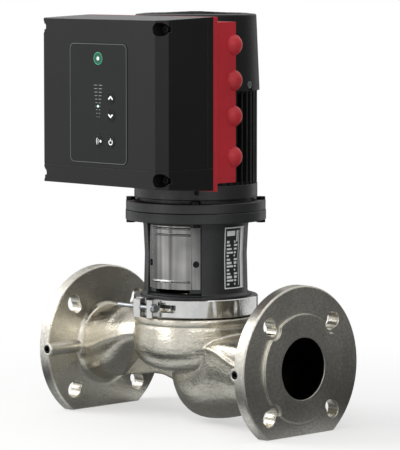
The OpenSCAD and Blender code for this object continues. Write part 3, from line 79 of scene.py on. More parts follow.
# %% Camera
AIM = at_pump(3.37, 3.40, 149.57)
TOWARDS_CAMERA = Vector((0.70795, -0.70057, 0.08942)).normalized()
CAMERA_DISTANCE = 3.4554
SENSOR_MM, LENS_MM = 36, 241.16
camera_data = bpy.data.cameras.new("product_camera")
camera_data.sensor_fit = "VERTICAL"
camera_data.sensor_height = SENSOR_MM
camera_data.lens = LENS_MM
camera_data.clip_end = 50
camera = bpy.data.objects.new("product_camera", camera_data)
bpy.context.collection.objects.link(camera)
camera.location = AIM + TOWARDS_CAMERA * CAMERA_DISTANCE
camera.rotation_euler = (-TOWARDS_CAMERA).to_track_quat("-Z", "Y").to_euler()
bpy.context.scene.camera = camera
print("camera at", [round(v, 3) for v in camera.location])

# %% [markdown]
# ## Building materials from nodes
# Every finish is a small graph round one Principled shader. `add` puts in one node, sets its
# values and joins its inputs, and `colour` turns an sRGB hex value to Blender's linear colours.


# %% Helpers for materials
def colour(text):
    """An sRGB hex value such as #c82432 as Blender's linear red, green, blue and alpha."""
    parts = [int(text[i:i + 2], 16) / 255 for i in (1, 3, 5)]
    return [c / 12.92 if c <= 0.04045 else ((c + 0.055) / 1.055) ** 2.4 for c in parts] + [1.0]


def add(tree, kind, settings=None, links=None, **properties):
    """One node: attributes by name, constants by socket, then links by socket."""
    item = tree.nodes.new(kind)
    for name, value in properties.items():
        setattr(item, name, value)
    for socket, value in (settings or {}).items():
        item.inputs[socket].default_value = value
    for socket, source in (links or {}).items():
        tree.links.new(source, item.inputs[socket])
    return item


def compute(tree, operation, *terms):
    """One sum, whose terms are numbers or sockets."""
    item = add(tree, "ShaderNodeMath", operation=operation)
    for index, term in enumerate(terms):
        if isinstance(term, (int, float)):
            item.inputs[index].default_value = term
        else:
            tree.links.new(term, item.inputs[index])
    return item.outputs[0]


def product(tree, first, *others):
    """All the factors multiplied: for masks, where every one of them holds."""
    for other in others:
        first = compute(tree, "MULTIPLY", first, other)
    return first


def new_material(name, metallic=0.0, ior=None, **sockets):
    """A Principled material; other sockets go by name, with _ for each space."""
    material = bpy.data.materials.new(name)
    material.use_nodes = True
    tree = material.node_tree
    shader = tree.nodes["Principled BSDF"]
    shader.inputs["Metallic"].default_value = metallic
    if ior:
        shader.inputs["IOR"].default_value = ior
    for socket, value in sockets.items():
        shader.inputs[socket.replace("_", " ")].default_value = value
    place = add(tree, "ShaderNodeTexCoord").outputs["Object"]
    return material, tree, shader, place


def noise(tree, place, size_mm, detail=3.0, rough=0.5, stretch=(1, 1, 1)):
    """Cloudy noise whose blotches are about size_mm across."""
    scaled = add(tree, "ShaderNodeMapping", {"Scale": stretch}, {"Vector": place})
    return add(tree, "ShaderNodeTexNoise",
               {"Scale": 1000 / size_mm / 2, "Detail": detail, "Roughness": rough},
               {"Vector": scaled.outputs[0]}).outputs[0]


def spread(tree, source, low, high, a=0.35, b=0.65, **properties):
    """Go from low to high while the source goes from a to b, by default the middle of a noise."""
    return add(tree, "ShaderNodeMapRange",
               {"From Min": a, "From Max": b, "To Min": low, "To Max": high},
               {"Value": source}, **properties).outputs[0]


def blend(tree, fac, first, second):
    """Mix two colours, each a hex value or a socket."""
    item = add(tree, "ShaderNodeMix", {}, {0: fac}, data_type="RGBA")
    for index, value in ((6, first), (7, second)):
        if isinstance(value, str):
            item.inputs[index].default_value = colour(value)
        else:
            tree.links.new(value, item.inputs[index])
    return item.outputs[2]


def rounded_edges(tree, radius_mm, samples=4):
    """The surface's normal with its sharp edges rounded, as any cast or moulded edge is."""
    return add(tree, "ShaderNodeBevel", {"Radius": mm(radius_mm)}, samples=samples).outputs[0]


def worn_edges(tree, soft):
    """1 where the rounded normal leaves the flat one: the edges that hands and cloths rub, made
    paler also as a painted highlight.
    """
    flat = add(tree, "ShaderNodeNewGeometry").outputs["True Normal"]
    dot = add(tree, "ShaderNodeVectorMath", {}, {0: soft, 1: flat}, operation="DOT_PRODUCT")
    return spread(tree, dot.outputs["Value"], 1, 0, 0.72, 0.99)


def relief(tree, height, depth_mm, normal):
    """Bumps of a height socket on top of a normal."""
    return add(tree, "ShaderNodeBump", {"Distance": mm(depth_mm), "Strength": 1.0},
               {"Height": height, "Normal": normal}).outputs[0]


# %% [markdown]
# ## Cast stainless steel
# The housing is an investment casting, pickled and blasted with glass beads: a warm, silky grey
# with a fine grain and cloudy patches. The flange faces and rims are turned after casting, so they
# are flatter and show rings. One material does both and tells them apart by their place.

# %% Measures of the casting, in metres; those called half are counted from the shaft
FLANGE_FACES = (0.0, -0.34)
TURNED_DEPTH = mm(4.2)
RIM_RADIUS = 0.0915
HALF_BETWEEN_FLANGES = 0.149
BORE_RADIUS = 0.0375
BORE_HALF_FROM, BORE_HALF_TO = 0.1, 0.1685
CORNER_FROM, CORNER_FULL, CORNER_END = -0.088, -0.066, -0.0215
CORNER_LOW, CORNER_HIGH = -0.012, 0.008
FACING_AWAY = 0.1
TURNED_EDGE_MM, FLOWING_EDGE_MM = 1.4, 5.0
GROOVE_PITCH_MM = 1.6
FULL_TURN = 6.283


# %% Cast stainless steel
def shape_masks(tree, place):
    """Masks for the turned faces, the flowing middle, and the painted shade in the ports and where
    the suction flange meets the bowl.
    """
    x, y, z = add(tree, "ShaderNodeSeparateXYZ", {}, {0: place}).outputs
    across = add(tree, "ShaderNodeCombineXYZ", {}, {1: y, 2: z}).outputs[0]
    radius = add(tree, "ShaderNodeVectorMath", {}, {0: across},
                 operation="LENGTH").outputs["Value"]
    half = compute(tree, "ABSOLUTE", compute(tree, "SUBTRACT", x, SHAFT_X))
    turned = compute(tree, "GREATER_THAN", radius, RIM_RADIUS)
    for face in FLANGE_FACES:
        off = compute(tree, "ABSOLUTE", compute(tree, "SUBTRACT", x, face))
        turned = compute(tree, "MAXIMUM", turned, compute(tree, "LESS_THAN", off, TURNED_DEPTH))
    flowing = compute(tree, "LESS_THAN", half, HALF_BETWEEN_FLANGES)
    # A bore is where the surface, close to the ports' axis and behind the faces, doesn't look
    # away from that axis
    outward = add(tree, "ShaderNodeVectorMath", {}, {0: across}, operation="NORMALIZE").outputs[0]
    normal = add(tree, "ShaderNodeNewGeometry").outputs["True Normal"]
    facing = add(tree, "ShaderNodeVectorMath", {}, {0: outward, 1: normal},
                 operation="DOT_PRODUCT").outputs["Value"]
    # Painted shade inside the ports is laid on this mask
    bores = product(tree, compute(tree, "LESS_THAN", facing, FACING_AWAY),
                    compute(tree, "LESS_THAN", radius, BORE_RADIUS),
                    compute(tree, "GREATER_THAN", half, BORE_HALF_FROM),
                    compute(tree, "LESS_THAN", half, BORE_HALF_TO))
    # Painted shade where the suction flange meets the bowl
    corner = product(tree, spread(tree, x, 0, 1, CORNER_FROM, CORNER_FULL),
                     spread(tree, z, 0, 1, CORNER_LOW, CORNER_HIGH),
                     compute(tree, "LESS_THAN", x, CORNER_END))
    return radius, turned, flowing, bores, corner


def make_cast_stainless():
    """Blasted casting and turned faces in one material, told apart by the masks."""
    material, tree, shader, place = new_material("cast_stainless_blasted", metallic=1.0)
    radius, turned, flowing, bores, corner = shape_masks(tree, place)
    # Between the flanges the casting flows, so its edges are rounded much more than theirs
    edge = rounded_edges(tree, TURNED_EDGE_MM)
    flowing_edge = rounded_edges(tree, FLOWING_EDGE_MM, samples=8)
    soft = add(tree, "ShaderNodeMix", {}, {0: flowing, 4: edge, 5: flowing_edge},
               data_type="VECTOR").outputs[1]
    clouds = noise(tree, place, 34, 4.0, 0.6)
    specks = noise(tree, place, 1.1, 2.0, 0.7)
    mottle = noise(tree, place, 1.7, 3.0, 0.7)
    base = blend(tree, spread(tree, clouds, 0, 1), "#c4bfb0", "#e2ddd0")
    base = blend(tree, spread(tree, specks, 0, 0.35), base, "#969185")
    machined = blend(tree, spread(tree, clouds, 0, 1), "#c6c3ba", "#e4e1d8")
    machined = blend(tree, spread(tree, mottle, 0, 0.55), machined, "#98938a")
    base = blend(tree, turned, base, machined)
    # Paler edges of the casting: partly wear, partly a painted highlight
    base = blend(tree, worn_edges(tree, edge), base, "#f0ece0")
    # Two places are painted darker, as painted shade: where the suction flange meets the bowl, and
    # inside the ports. Their greys were only matched to the photograph, where they are darker than
    # this finish comes out, and stand for shade, not the metal's own colour
    base = blend(tree, corner, base, "#98938a")
    base = blend(tree, bores, base, "#1d1a16")
    tree.links.new(base, shader.inputs["Base Color"])
    rough = add(tree, "ShaderNodeMix", {}, {0: turned, 2: spread(tree, clouds, 0.2, 0.33),
                                            3: spread(tree, specks, 0.34, 0.44)})
    tree.links.new(rough.outputs[0], shader.inputs["Roughness"])
    # Turning leaves fine grooves, drawn a little coarser than they are so that they show
    along = add(tree, "ShaderNodeCombineXYZ", {}, {0: radius}).outputs[0]
    rings = add(tree, "ShaderNodeTexWave",
                {"Scale": 1000 / GROOVE_PITCH_MM / FULL_TURN, "Distortion": 0.4}, {0: along},
                wave_type="BANDS", bands_direction="X").outputs[1]
    # The mould's skin wrinkles in waves of about 3 mm where the casting flows
    wrinkles = noise(tree, place, 3.2, 3.0, 0.55, (0.7, 0.7, 1.5))
    wrinkles = product(tree, wrinkles, compute(tree, "MULTIPLY", flowing, 1.6))
    height = add(tree, "ShaderNodeMix", {}, {0: turned, 2: compute(tree, "ADD", specks, wrinkles),
                                             3: compute(tree, "MULTIPLY", rings, 0.25)})
    tree.links.new(relief(tree, height.outputs[0], 0.25, soft), shader.inputs["Normal"])
    return material


stainless = make_cast_stainless()
print("made", stainless.name)

# %% [markdown]
# ## Coats, plastics, rubbers and plain metals
# The other finishes share one plan: a colour with a cloudy shade of it, a grain that is pressed,
# sprayed or moulded, a roughness that wanders a little, and edges that are rounder and worn,
# whose paler colour is also a painted highlight.


# %% One plan for the other finishes
def finish(name, main, shade, edge=None, metallic=0.0, ior=None, rough=(0.4, 0.5), grain_mm=0.8,
           grain_depth=0.05, grain_tint=0.25, cloud_mm=30, edge_mm=0.5, stretch=(1, 1, 1),
           **sockets):
    """A cloudy main colour with its shade in the grain, which also sets roughness and relief."""
    material, tree, shader, place = new_material(name, metallic, ior, **sockets)
    soft = rounded_edges(tree, edge_mm)
    clouds = noise(tree, place, cloud_mm, 3.0, 0.55)
    grain = noise(tree, place, grain_mm, 2.0, 0.6, stretch)
    base = blend(tree, spread(tree, clouds, 0, 1), main, shade)
    base = blend(tree, spread(tree, grain, 0, grain_tint), base, shade)
    if edge:
        # The edge colour stands for wear and is also a painted highlight
        base = blend(tree, worn_edges(tree, soft), base, edge)
    tree.links.new(base, shader.inputs["Base Color"])
    tree.links.new(spread(tree, grain, rough[0], rough[1]), shader.inputs["Roughness"])
    tree.links.new(relief(tree, grain, grain_depth, soft), shader.inputs["Normal"])
    return material


def lit_guide(name, centre, core_from_mm, core_to_mm, rim, middle, glow, rough):
    """A clear light guide, lit from behind: bright in its middle, deeper at its rim."""
    material, tree, shader, place = new_material(name, ior=1.49)
    off = add(tree, "ShaderNodeVectorMath", {1: centre}, {0: place}, operation="DISTANCE")
    core = spread(tree, off.outputs["Value"], 1, 0, mm(core_from_mm), mm(core_to_mm))
    base = blend(tree, core, rim, middle)
    for socket in ("Base Color", "Emission Color"):
        tree.links.new(base, shader.inputs[socket])
    shader.inputs["Emission Strength"].default_value = glow
    shader.inputs["Roughness"].default_value = rough
    return material


# %% Finish of each slot
finishes = {
    "stainless_casting": stainless,
    # Turned stainless: a pale, fine-ringed metal on the wear ring, seal cover and shafts
    "machined_steel": finish("turned_stainless", "#b4b2ab", "#9a9891", metallic=1.0,
                             rough=(0.22, 0.34), grain_mm=0.7, grain_depth=0.02),
    # Zinc-plated steel: a bluish, slightly cloudy grey on bolts and nuts
    "zinc_fastener": finish("zinc_plated_steel", "#a9abae", "#8a8d91", metallic=1.0,
                            rough=(0.26, 0.4), grain_mm=0.9, cloud_mm=6, grain_depth=0.02),
    # Bright rolled stainless: mirror-like, with faint waves and long hairlines round the band
    "polished_band": finish("bright_rolled_stainless", "#d6d6d4", "#bcbcbb", "#f4f4f2",
                            metallic=1.0, rough=(0.07, 0.15), grain_mm=2.5, cloud_mm=25,
                            edge_mm=0.4, stretch=(1, 1, 6), grain_depth=0.012),
    # Electro-coated grey iron: satin charcoal whose sand-cast skin still shows
    "stool_iron": finish("coated_grey_iron", "#2b2c2d", "#212223", "#56585a", ior=1.5,
                         rough=(0.38, 0.52), grain_mm=1.3, grain_depth=0.14, cloud_mm=22,
                         edge_mm=0.8, Specular_IOR_Level=0.4),
    # The motor's end shields are powder coated: an even charcoal with a faint orange peel
    "motor_paint": finish("charcoal_powder_coat", "#262627", "#1c1c1d", "#4c4d4e", ior=1.5,
                          rough=(0.38, 0.5), grain_mm=1.4, grain_depth=0.12, cloud_mm=14),
    # The fan cover is pressed sheet under the same kind of coat, darker and smoother
    "fan_cover_paint": finish("powder_coated_sheet", "#1a1b1b", "#151616", "#3e4040", ior=1.45,
                              rough=(0.42, 0.55), grain_mm=1.4, grain_depth=0.05,
                              Specular_IOR_Level=0.25),
    # Glass-filled plastic with a spark-eroded grain: dull black that greys where it is lit
    "cover_plastic": finish("eroded_black_plastic", "#171717", "#121212", "#3a3a3a", ior=1.45,
                            rough=(0.34, 0.44), grain_mm=0.7, grain_depth=0.06, cloud_mm=60,
                            Specular_IOR_Level=0.3),
    # The panel's film is even and matt, a touch lighter than the cover, and its keys are darker
    "panel_plastic": finish("matt_panel_film", "#202121", "#1c1d1d", ior=1.45,
                            rough=(0.46, 0.56), grain_mm=0.5, grain_depth=0.015, cloud_mm=50,
                            Specular_IOR_Level=0.2),
    # The keys' pale rims are a painted highlight
    "button_plastic": finish("soft_key_film", "#131414", "#101111", "#7a7b7b", ior=1.45,
                             rough=(0.46, 0.56), grain_mm=0.5, grain_depth=0.015,
                             Specular_IOR_Level=0.2),
    # The terminal box is moulded in a deep signal red
    "red_plastic": finish("moulded_red_plastic", "#c82432", "#b4202c", "#dc434e", ior=1.45,
                          rough=(0.4, 0.55), grain_mm=0.8, grain_depth=0.06, cloud_mm=50),
    # Rubber of the gasket, O-ring and bellows: dead matt, near black
    "black_rubber": finish("nitrile_rubber", "#161616", "#1f1f1f", ior=1.52,
                           rough=(0.6, 0.75), grain_mm=0.6),
    # The seal's faces are lapped silicon carbide: a dark, glassy grey
    "seal_ceramic": finish("silicon_carbide", "#3a3b3f", "#2e2f33", ior=2.6, rough=(0.15, 0.25),
                           grain_mm=0.3, grain_depth=0.005),
    # Blackened screws keep a soft shine
    "black_steel": finish("blackened_steel", "#26262a", "#1b1b1d", "#4b4b4e", metallic=1.0,
                          rough=(0.35, 0.5), grain_mm=0.6, grain_depth=0.02),
    # The coupling's shells are sintered: a dry, even grey
    "coupling_steel": finish("sintered_steel", "#7d7f82", "#67696c", "#a5a7aa", metallic=1.0,
                             rough=(0.35, 0.48), grain_mm=0.9),
    # The cores are stacks of sheet, whose edges run round them as fine lines
    "electrical_steel": finish("stamped_sheet_stack", "#74777b", "#5e6165", metallic=1.0,
                               rough=(0.35, 0.5), grain_mm=0.5, stretch=(0.2, 0.2, 3)),
    # Copper under a clear enamel: warm brown-red, with the wires' run as a stretched grain
    "copper_wire": finish("enamelled_copper", "#a85a2c", "#8c4520", metallic=1.0,
                          rough=(0.25, 0.4), grain_mm=0.8, stretch=(0.4, 0.4, 2)),
    # Nickel on the magnets, and the bright ground steel of the bearings
    "magnet": finish("nickel_plated_magnet", "#8f9092", "#7c7d80", metallic=1.0,
                     rough=(0.2, 0.3), grain_mm=0.8, grain_depth=0.01),
    "bearing_steel": finish("ground_bearing_steel", "#b9bbbe", "#a4a6a9", metallic=1.0,
                            rough=(0.1, 0.2), grain_mm=0.6, grain_depth=0.008),
    # Green solder mask over the weave of the board
    "board": finish("solder_masked_board", "#1f5a36", "#174a2b", ior=1.55, rough=(0.25, 0.4),
                    grain_mm=1.5, grain_depth=0.03, cloud_mm=12),
    # Pale grey polyamide of the terminal block, and the fan's plain black polypropylene
    "terminal_plastic": finish("grey_polyamide", "#c3c3bb", "#b4b4ac", ior=1.53,
                               rough=(0.45, 0.6)),
    "fan_plastic": finish("black_polypropylene", "#1c1d1d", "#242525", ior=1.49,
                          rough=(0.4, 0.55), grain_mm=1.2),
    # The status light: almost white in its middle, deep green round it
    "lens_plastic": lit_guide("lit_green_light_guide", at_pump(0, LIGHT_Y, LIGHT_Z), 1.3, 2.5,
                              "#0f4a36", "#e8fff4", glow=0.7, rough=0.2),
}

# %% Pieces whose own finish differs from the rest of their slot
# The guards are rolled sheet, duller than the band and drawn lengthwise; their strong dark and
# light streaks along it are painted reflections, and their white edges a painted highlight. The
# motor's ribbed housing is painted a darker black than its other coat, as painted shade among the
# ribs, and the fasteners of the flanges and guards are blackened
guard_sheet = finish("drawn_guard_sheet", "#c9c8c6", "#4a4a4a", "#ffffff", metallic=1.0,
                     rough=(0.14, 0.26), grain_mm=7, cloud_mm=60, edge_mm=0.6,
                     stretch=(1, 1, 0.02), grain_depth=0.3, grain_tint=1.0)
# Painted shade among the motor's ribs
dark_spray = finish("thin_black_spray", "#0f0f10", "#0b0b0c", "#303031", ior=1.45,
                    rough=(0.45, 0.6), grain_mm=1.6, Specular_IOR_Level=0.3)
own_finish = {"front_coupling_guard": guard_sheet, "rear_coupling_guard": guard_sheet,
              "stator_housing": dark_spray, "guard_screws": finishes["black_steel"],
              "motor_flange_nuts": finishes["black_steel"],
              "motor_flange_bolts": finishes["black_steel"]}
slot_of = {part["node"]: part["material_slot"] for part in frame["record"]["subparts"]}
for name, item in nodes.items():
    item.data.materials.clear()
    item.data.materials.append(own_finish.get(name, finishes[slot_of[name]]))
print("finishes:", len(finishes), "and", len(own_finish), "pieces with their own")

# %% [markdown]
# ## Small pieces
# What is printed on the panel or glued to the stool is thinner than CAD is good at, so it is
# modelled here. Each piece starts as a primitive at its place, is cut to shape in edit mode, and
# ends with its place in its mesh, so that its object sits at the origin as the CAD ones do.


# %% Helpers for small pieces
def settle(name, body, material=None):
    """Name the active object, put its place in its mesh, point its faces out and attach it."""
    item = bpy.context.object
    bpy.ops.object.mode_set(mode="OBJECT")
    deselect()
    item.select_set(True)
    bpy.context.view_layer.objects.active = item
    bpy.ops.object.transform_apply(location=True, rotation=True, scale=True)
    bpy.ops.object.mode_set(mode="EDIT")
    bpy.ops.mesh.select_all(action="SELECT")
    bpy.ops.mesh.remove_doubles(threshold=mm(0.005))
    bpy.ops.mesh.normals_make_consistent(inside=False)
    bpy.ops.object.mode_set(mode="OBJECT")
    item.name = name
    item.data.name = name
    if material is not None:
        item.data.materials.clear()
        item.data.materials.append(material)
    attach(item, body)
    print(name, len(item.data.polygons), "faces")


def apply_modifier(kind, **settings):
    """Put a modifier on the active object and apply it at once."""
    item = bpy.context.object
    modifier = item.modifiers.new(kind.lower(), kind)
    for key, value in settings.items():
        setattr(modifier, key, value)
    bpy.ops.object.modifier_apply(modifier=modifier.name)


def bar(x, y, z, width, height, thick, turn=0.0):
    """A thin bar with soft corners on a plane that faces -Y, as printed ink or a light window."""
    deselect()
    bpy.ops.mesh.primitive_cube_add(size=1, location=at_pump(x, y - thick / 2 + 0.02, z),
                                    rotation=(0, radians(turn), 0))
    item = bpy.context.object
    item.scale = (mm(width), mm(thick), mm(height))
    bpy.ops.object.transform_apply(location=False, rotation=False, scale=True)
    apply_modifier("BEVEL", width=mm(min(width, height) * 0.24), segments=2,
                   limit_method="ANGLE")
    return item


def disc(x, y, z, radius, thick, edge, vertices):
    """A flat disc that faces -Y, with rounded edges."""
    deselect()
    bpy.ops.mesh.primitive_cylinder_add(vertices=vertices, radius=mm(radius), depth=mm(thick),
                                        location=at_pump(x, y, z), rotation=(radians(90), 0, 0))
    apply_modifier("BEVEL", width=mm(edge), segments=2, limit_method="ANGLE")
    bpy.ops.object.transform_apply(location=False, rotation=True, scale=False)
    return bpy.context.object


def pick_faces(test):
    """Select the active object's faces that pass the test, and stay in edit mode."""
    bpy.ops.object.mode_set(mode="EDIT")
    bpy.ops.mesh.select_mode(type="FACE")
    bpy.ops.mesh.select_all(action="DESELECT")
    bpy.ops.object.mode_set(mode="OBJECT")
    for polygon in bpy.context.object.data.polygons:
        polygon.select = test(polygon)
    bpy.ops.object.mode_set(mode="EDIT")
    bpy.ops.mesh.select_mode(type="FACE")


def arc(x, y, z, radius, width, kept=lambda angle: True):
    """A flat ring that faces -Y, without the parts whose angle, up from +X, isn't kept."""
    thick = 0.3
    deselect()
    bpy.ops.mesh.primitive_torus_add(major_radius=mm(radius), minor_radius=mm(width / 2),
                                     major_segments=64, minor_segments=8,
                                     location=at_pump(x, y - 0.04, z),
                                     rotation=(radians(90), 0, 0))
    item = bpy.context.object
    bpy.ops.object.transform_apply(location=False, rotation=True, scale=False)
    pick_faces(lambda face: not kept(degrees(atan2(face.center.z, face.center.x)) % 360))
    bpy.ops.mesh.delete(type="FACE")
    bpy.ops.mesh.select_mode(type="EDGE")
    bpy.ops.mesh.select_all(action="SELECT")
    bpy.ops.mesh.fill_holes(sides=12)
    bpy.ops.object.mode_set(mode="OBJECT")
    item.scale = (1, thick / width, 1)
    bpy.ops.object.transform_apply(location=False, rotation=False, scale=True)
    return item


def join(items):
    """One object from several, which stays active."""
    deselect()
    for item in items:
        item.select_set(True)
    bpy.context.view_layer.objects.active = items[0]
    bpy.ops.object.join()


# %% [markdown]
# ## Printed lines, marks and signs of the panel
# The film has a fine pale frame, a ladder of light windows that narrows downwards, one of them lit,
# and a white sign on each key. They are inks and light windows: matt, even and a hair proud.

# %% Inks
# The signs are lit from behind, so their white glows a little
white_ink = finish("lit_white_ink", "#eef0f0", "#dfe1e1", ior=1.48, rough=(0.5, 0.6),
                   grain_mm=0.4, grain_depth=0.01, Emission_Color=(1, 1, 1, 1),
                   Emission_Strength=0.45)
# The frame is a flat mid grey print, and the windows that aren't lit are a paler grey
grey_ink = finish("grey_screen_ink", "#6d6f70", "#616364", ior=1.48, rough=(0.5, 0.6),
                  grain_mm=0.4, grain_depth=0.01)
window_ink = finish("unlit_light_window", "#b9bdbd", "#a5a9a9", ior=1.48, rough=(0.35, 0.5),
                    grain_mm=0.4, grain_depth=0.01)
# The ring round the status light glows in a clear green
ring_light = finish("lit_green_ring", "#2f8f6c", "#1d6a4e", ior=1.49, rough=(0.3, 0.4),
                    grain_mm=6, grain_depth=0.01, grain_tint=0.5,
                    Emission_Color=colour("#3fb48a"), Emission_Strength=0.5)
print("inks:", white_ink.name, grey_ink.name, window_ink.name, ring_light.name)

# %% Pale frame round the panel
FRAME_INSET = 0.6
FRAME_WIDTH = 0.7
deselect()
bpy.ops.mesh.primitive_plane_add(size=1, rotation=(radians(90), 0, 0),
                                 location=at_pump(0, PANEL_Y - 0.02, PANEL_MIDDLE_Z))
frame_line = bpy.context.object
frame_line.scale = (mm(PANEL_WIDTH - 2 * FRAME_INSET), mm(PANEL_HEIGHT - 2 * FRAME_INSET), 1)
bpy.ops.object.transform_apply(location=False, rotation=False, scale=True)
bpy.ops.object.mode_set(mode="EDIT")
bpy.ops.mesh.select_all(action="SELECT")
bpy.ops.mesh.bevel(offset=mm(PANEL_CORNER - FRAME_INSET), segments=7, affect="VERTICES")
bpy.ops.mesh.select_all(action="SELECT")
bpy.ops.mesh.inset(thickness=mm(FRAME_WIDTH))
bpy.ops.mesh.delete(type="FACE")
bpy.ops.object.mode_set(mode="OBJECT")
apply_modifier("SOLIDIFY", thickness=mm(0.12), offset=1)
settle("panel_frame_line", "pump", grey_ink)

# %% Ladder of light windows, ten rows of two, and the one that is lit
ROWS, TOP_ROW_Z, ROW_STEP = 10, 314.5, 3.9
LIT_ROW_Z = TOP_ROW_Z - 6 * ROW_STEP
windows = []
for row in range(ROWS):
    start, end = 1.2, 6.8 - 0.48 * row
    for side in (-1, 1):
        windows.append(bar(side * (start + end) / 2, PANEL_Y, TOP_ROW_Z - ROW_STEP * row,
                           end - start, 0.7, 0.15))
join(windows)
settle("level_windows", "pump", window_ink)
disc(0, PANEL_Y - 0.13, LIT_ROW_Z, radius=1.6, thick=0.3, edge=0.08, vertices=32)
settle("level_light", "pump",
       lit_guide("lit_window", at_pump(0, PANEL_Y, LIT_ROW_Z), 0.5, 1.7, "#2f9a70", "#f2fff9",
                 glow=0.8, rough=0.3))


# %% Signs on the keys
def chevron(x, z, way):
    """Two bars that meet: way is 1 for up and -1 for down."""
    join([bar(x + side * 1.5, KEY_Y, z, 5.2, 1.8, 0.15, turn=side * way * 42)
          for side in (-1, 1)])


chevron(*KEYS["up"], 1)
settle("sign_up", "button_up_key", white_ink)
chevron(*KEYS["down"], -1)
settle("sign_down", "button_down_key", white_ink)

x, z = KEYS["power"]
join([arc(x, KEY_Y, z, 2.7, 1.2, lambda angle: not 50 < angle < 130),
      bar(x, KEY_Y, z + 2.6, 1.1, 3.2, 0.15)])
settle("sign_power", "button_power_key", white_ink)

x, z = KEYS["wireless"]
waves = [disc(x, KEY_Y - 0.06, z, radius=1.5, thick=0.2, edge=0.06, vertices=24)]
for radius in (4.2, 6.6):
    waves.append(arc(x, KEY_Y, z, radius, 0.8, lambda angle: 145 < angle < 215))
join(waves)
settle("sign_wireless", "button_wireless_key", white_ink)

# %% Ring of light round the status lens
arc(0, PANEL_Y, LIGHT_Z, radius=6.5, width=1.2)
settle("status_ring", "pump", ring_light)

# %% [markdown]
# ## The data plate
# A thin aluminium plate is stuck to the stool and follows its curve. The real one is printed with
# fields of data; here it has blank fields only. A tube is cut down to the plate's part of the
# circle, pulled on to the stool, given its thickness, and its fields are other faces of it.

# %% Data plate, between two angles from +X and two heights in millimetres
PLATE = {"from": -11.4, "to": 19.5, "low": 81.0, "high": 151.0}
TUBE_RADIUS = 61
COLUMNS_ROUND, ROWS_UP = 720, 100
plate_height = PLATE["high"] - PLATE["low"]
deselect()
bpy.ops.mesh.primitive_cylinder_add(vertices=COLUMNS_ROUND, radius=mm(TUBE_RADIUS),
                                    depth=mm(plate_height), end_fill_type="NOTHING",
                                    location=at_pump(0, 0, PLATE["low"] + plate_height / 2))
plate = bpy.context.object
pick_faces(lambda face: not PLATE["from"] < degrees(atan2(face.center.y, face.center.x))
           < PLATE["to"])
bpy.ops.mesh.delete(type="FACE")
for step in range(1, ROWS_UP):
    bpy.ops.mesh.select_all(action="SELECT")
    height = mm(PLATE["low"] + plate_height * step / ROWS_UP)
    bpy.ops.mesh.bisect(plane_co=(SHAFT_X, 0, height), plane_no=(0, 0, 1))
bpy.ops.object.mode_set(mode="OBJECT")
bpy.ops.object.transform_apply(location=True, rotation=True, scale=True)
apply_modifier("SHRINKWRAP", target=nodes["motor_stool"], wrap_method="NEAREST_SURFACEPOINT",
               wrap_mode="OUTSIDE_SURFACE", offset=mm(0.05))
apply_modifier("SOLIDIFY", thickness=mm(0.5), offset=1)
# Lacquered aluminium, almost white, with a black screen print over most of it
plate_face = finish("printed_aluminium_plate", "#f3f5f6", "#eceeef", ior=1.5, rough=(0.3, 0.4),
                    grain_mm=0.5, grain_depth=0.01)
plate_field = finish("black_printed_field", "#1d1e20", "#26272a", ior=1.5, rough=(0.3, 0.4),
                     grain_mm=0.5, grain_depth=0.01)
plate.data.materials.clear()
plate.data.materials.append(plate_face)
plate.data.materials.append(plate_field)

# %% Print of the plate
# Left, right, low and high as parts of the plate's width and height: a dark ground inside a pale
# rim, with a heading box, two pale strips and two columns of blank boxes
GROUND = (0.035, 0.97, 0.015, 0.985)
BOXES = [(0.1, 0.46, 0.86, 0.94), (0.54, 0.62, 0.76, 0.94), (0.66, 0.7, 0.05, 0.95),
         (0.78, 0.93, 0.02, 0.98)]
for row in range(13):
    low = 0.06 + 0.057 * row
    high = low + 0.033
    BOXES.append((0.1, 0.2 + 0.06 * (row * 3 % 4), low, high))
    BOXES.append((0.44, 0.5 + 0.04 * (row * 5 % 4), low, high))


def within(field, across, up):
    """Whether a place on the plate lies in a field."""
    left, right, low, high = field
    return left < across < right and low < up < high


for polygon in plate.data.polygons:
    centre = polygon.center
    angle = degrees(atan2(centre.y, centre.x - SHAFT_X))
    across = (angle - PLATE["from"]) / (PLATE["to"] - PLATE["from"])
    up = (centre.z * 1000 - PLATE["low"]) / plate_height
    dark = within(GROUND, across, up) and not any(within(box, across, up) for box in BOXES)
    polygon.material_index = 1 if dark and polygon.normal.x > 0.5 else 0
settle("data_plate", "pump")

# %% [markdown]
# ## The studio
# White paper under the pump fades into a white world, so no horizon shows. The biggest soft lamp
# stands at the front left, one hangs above, and three weaker ones fill from the front and the
# right. Polished metal needs something dark to reflect as well: grey cloths stand behind and at the
# right, and a banded plane lies on the floor, where only reflections find them. The places, greys
# and strengths were matched to the photograph, as its real studio isn't known.

# %% Helpers for the studio
CENTRE = at_pump(0, 0, 0)


def seen_rays(tree):
    """1 for the rays that show a background: the camera's, and those that metal and glass send."""
    path = add(tree, "ShaderNodeLightPath").outputs
    seen = path["Is Camera Ray"]
    for ray in ("Is Glossy Ray", "Is Transmission Ray"):
        seen = compute(tree, "MAXIMUM", seen, path[ray])
    return seen


def empty_material(name):
    """A material whose graph is built from nothing."""
    material = bpy.data.materials.new(name)
    material.use_nodes = True
    material.node_tree.nodes.clear()
    return material, material.node_tree


def stage_plane(name, location, width, height, material, turn=(0, 0, 0), mirrored_only=False):
    """A plane of the studio; mirrored_only keeps it to the reflections in metal and gloss."""
    deselect()
    bpy.ops.mesh.primitive_plane_add(size=1, location=location, rotation=turn)
    item = bpy.context.object
    item.name = name
    item.scale = (width, height, 1)
    item.data.materials.append(material)
    if mirrored_only:
        item.visible_camera = False
        item.visible_diffuse = False
        item.visible_shadow = False
        item.visible_transmission = False
    print("stage:", name)


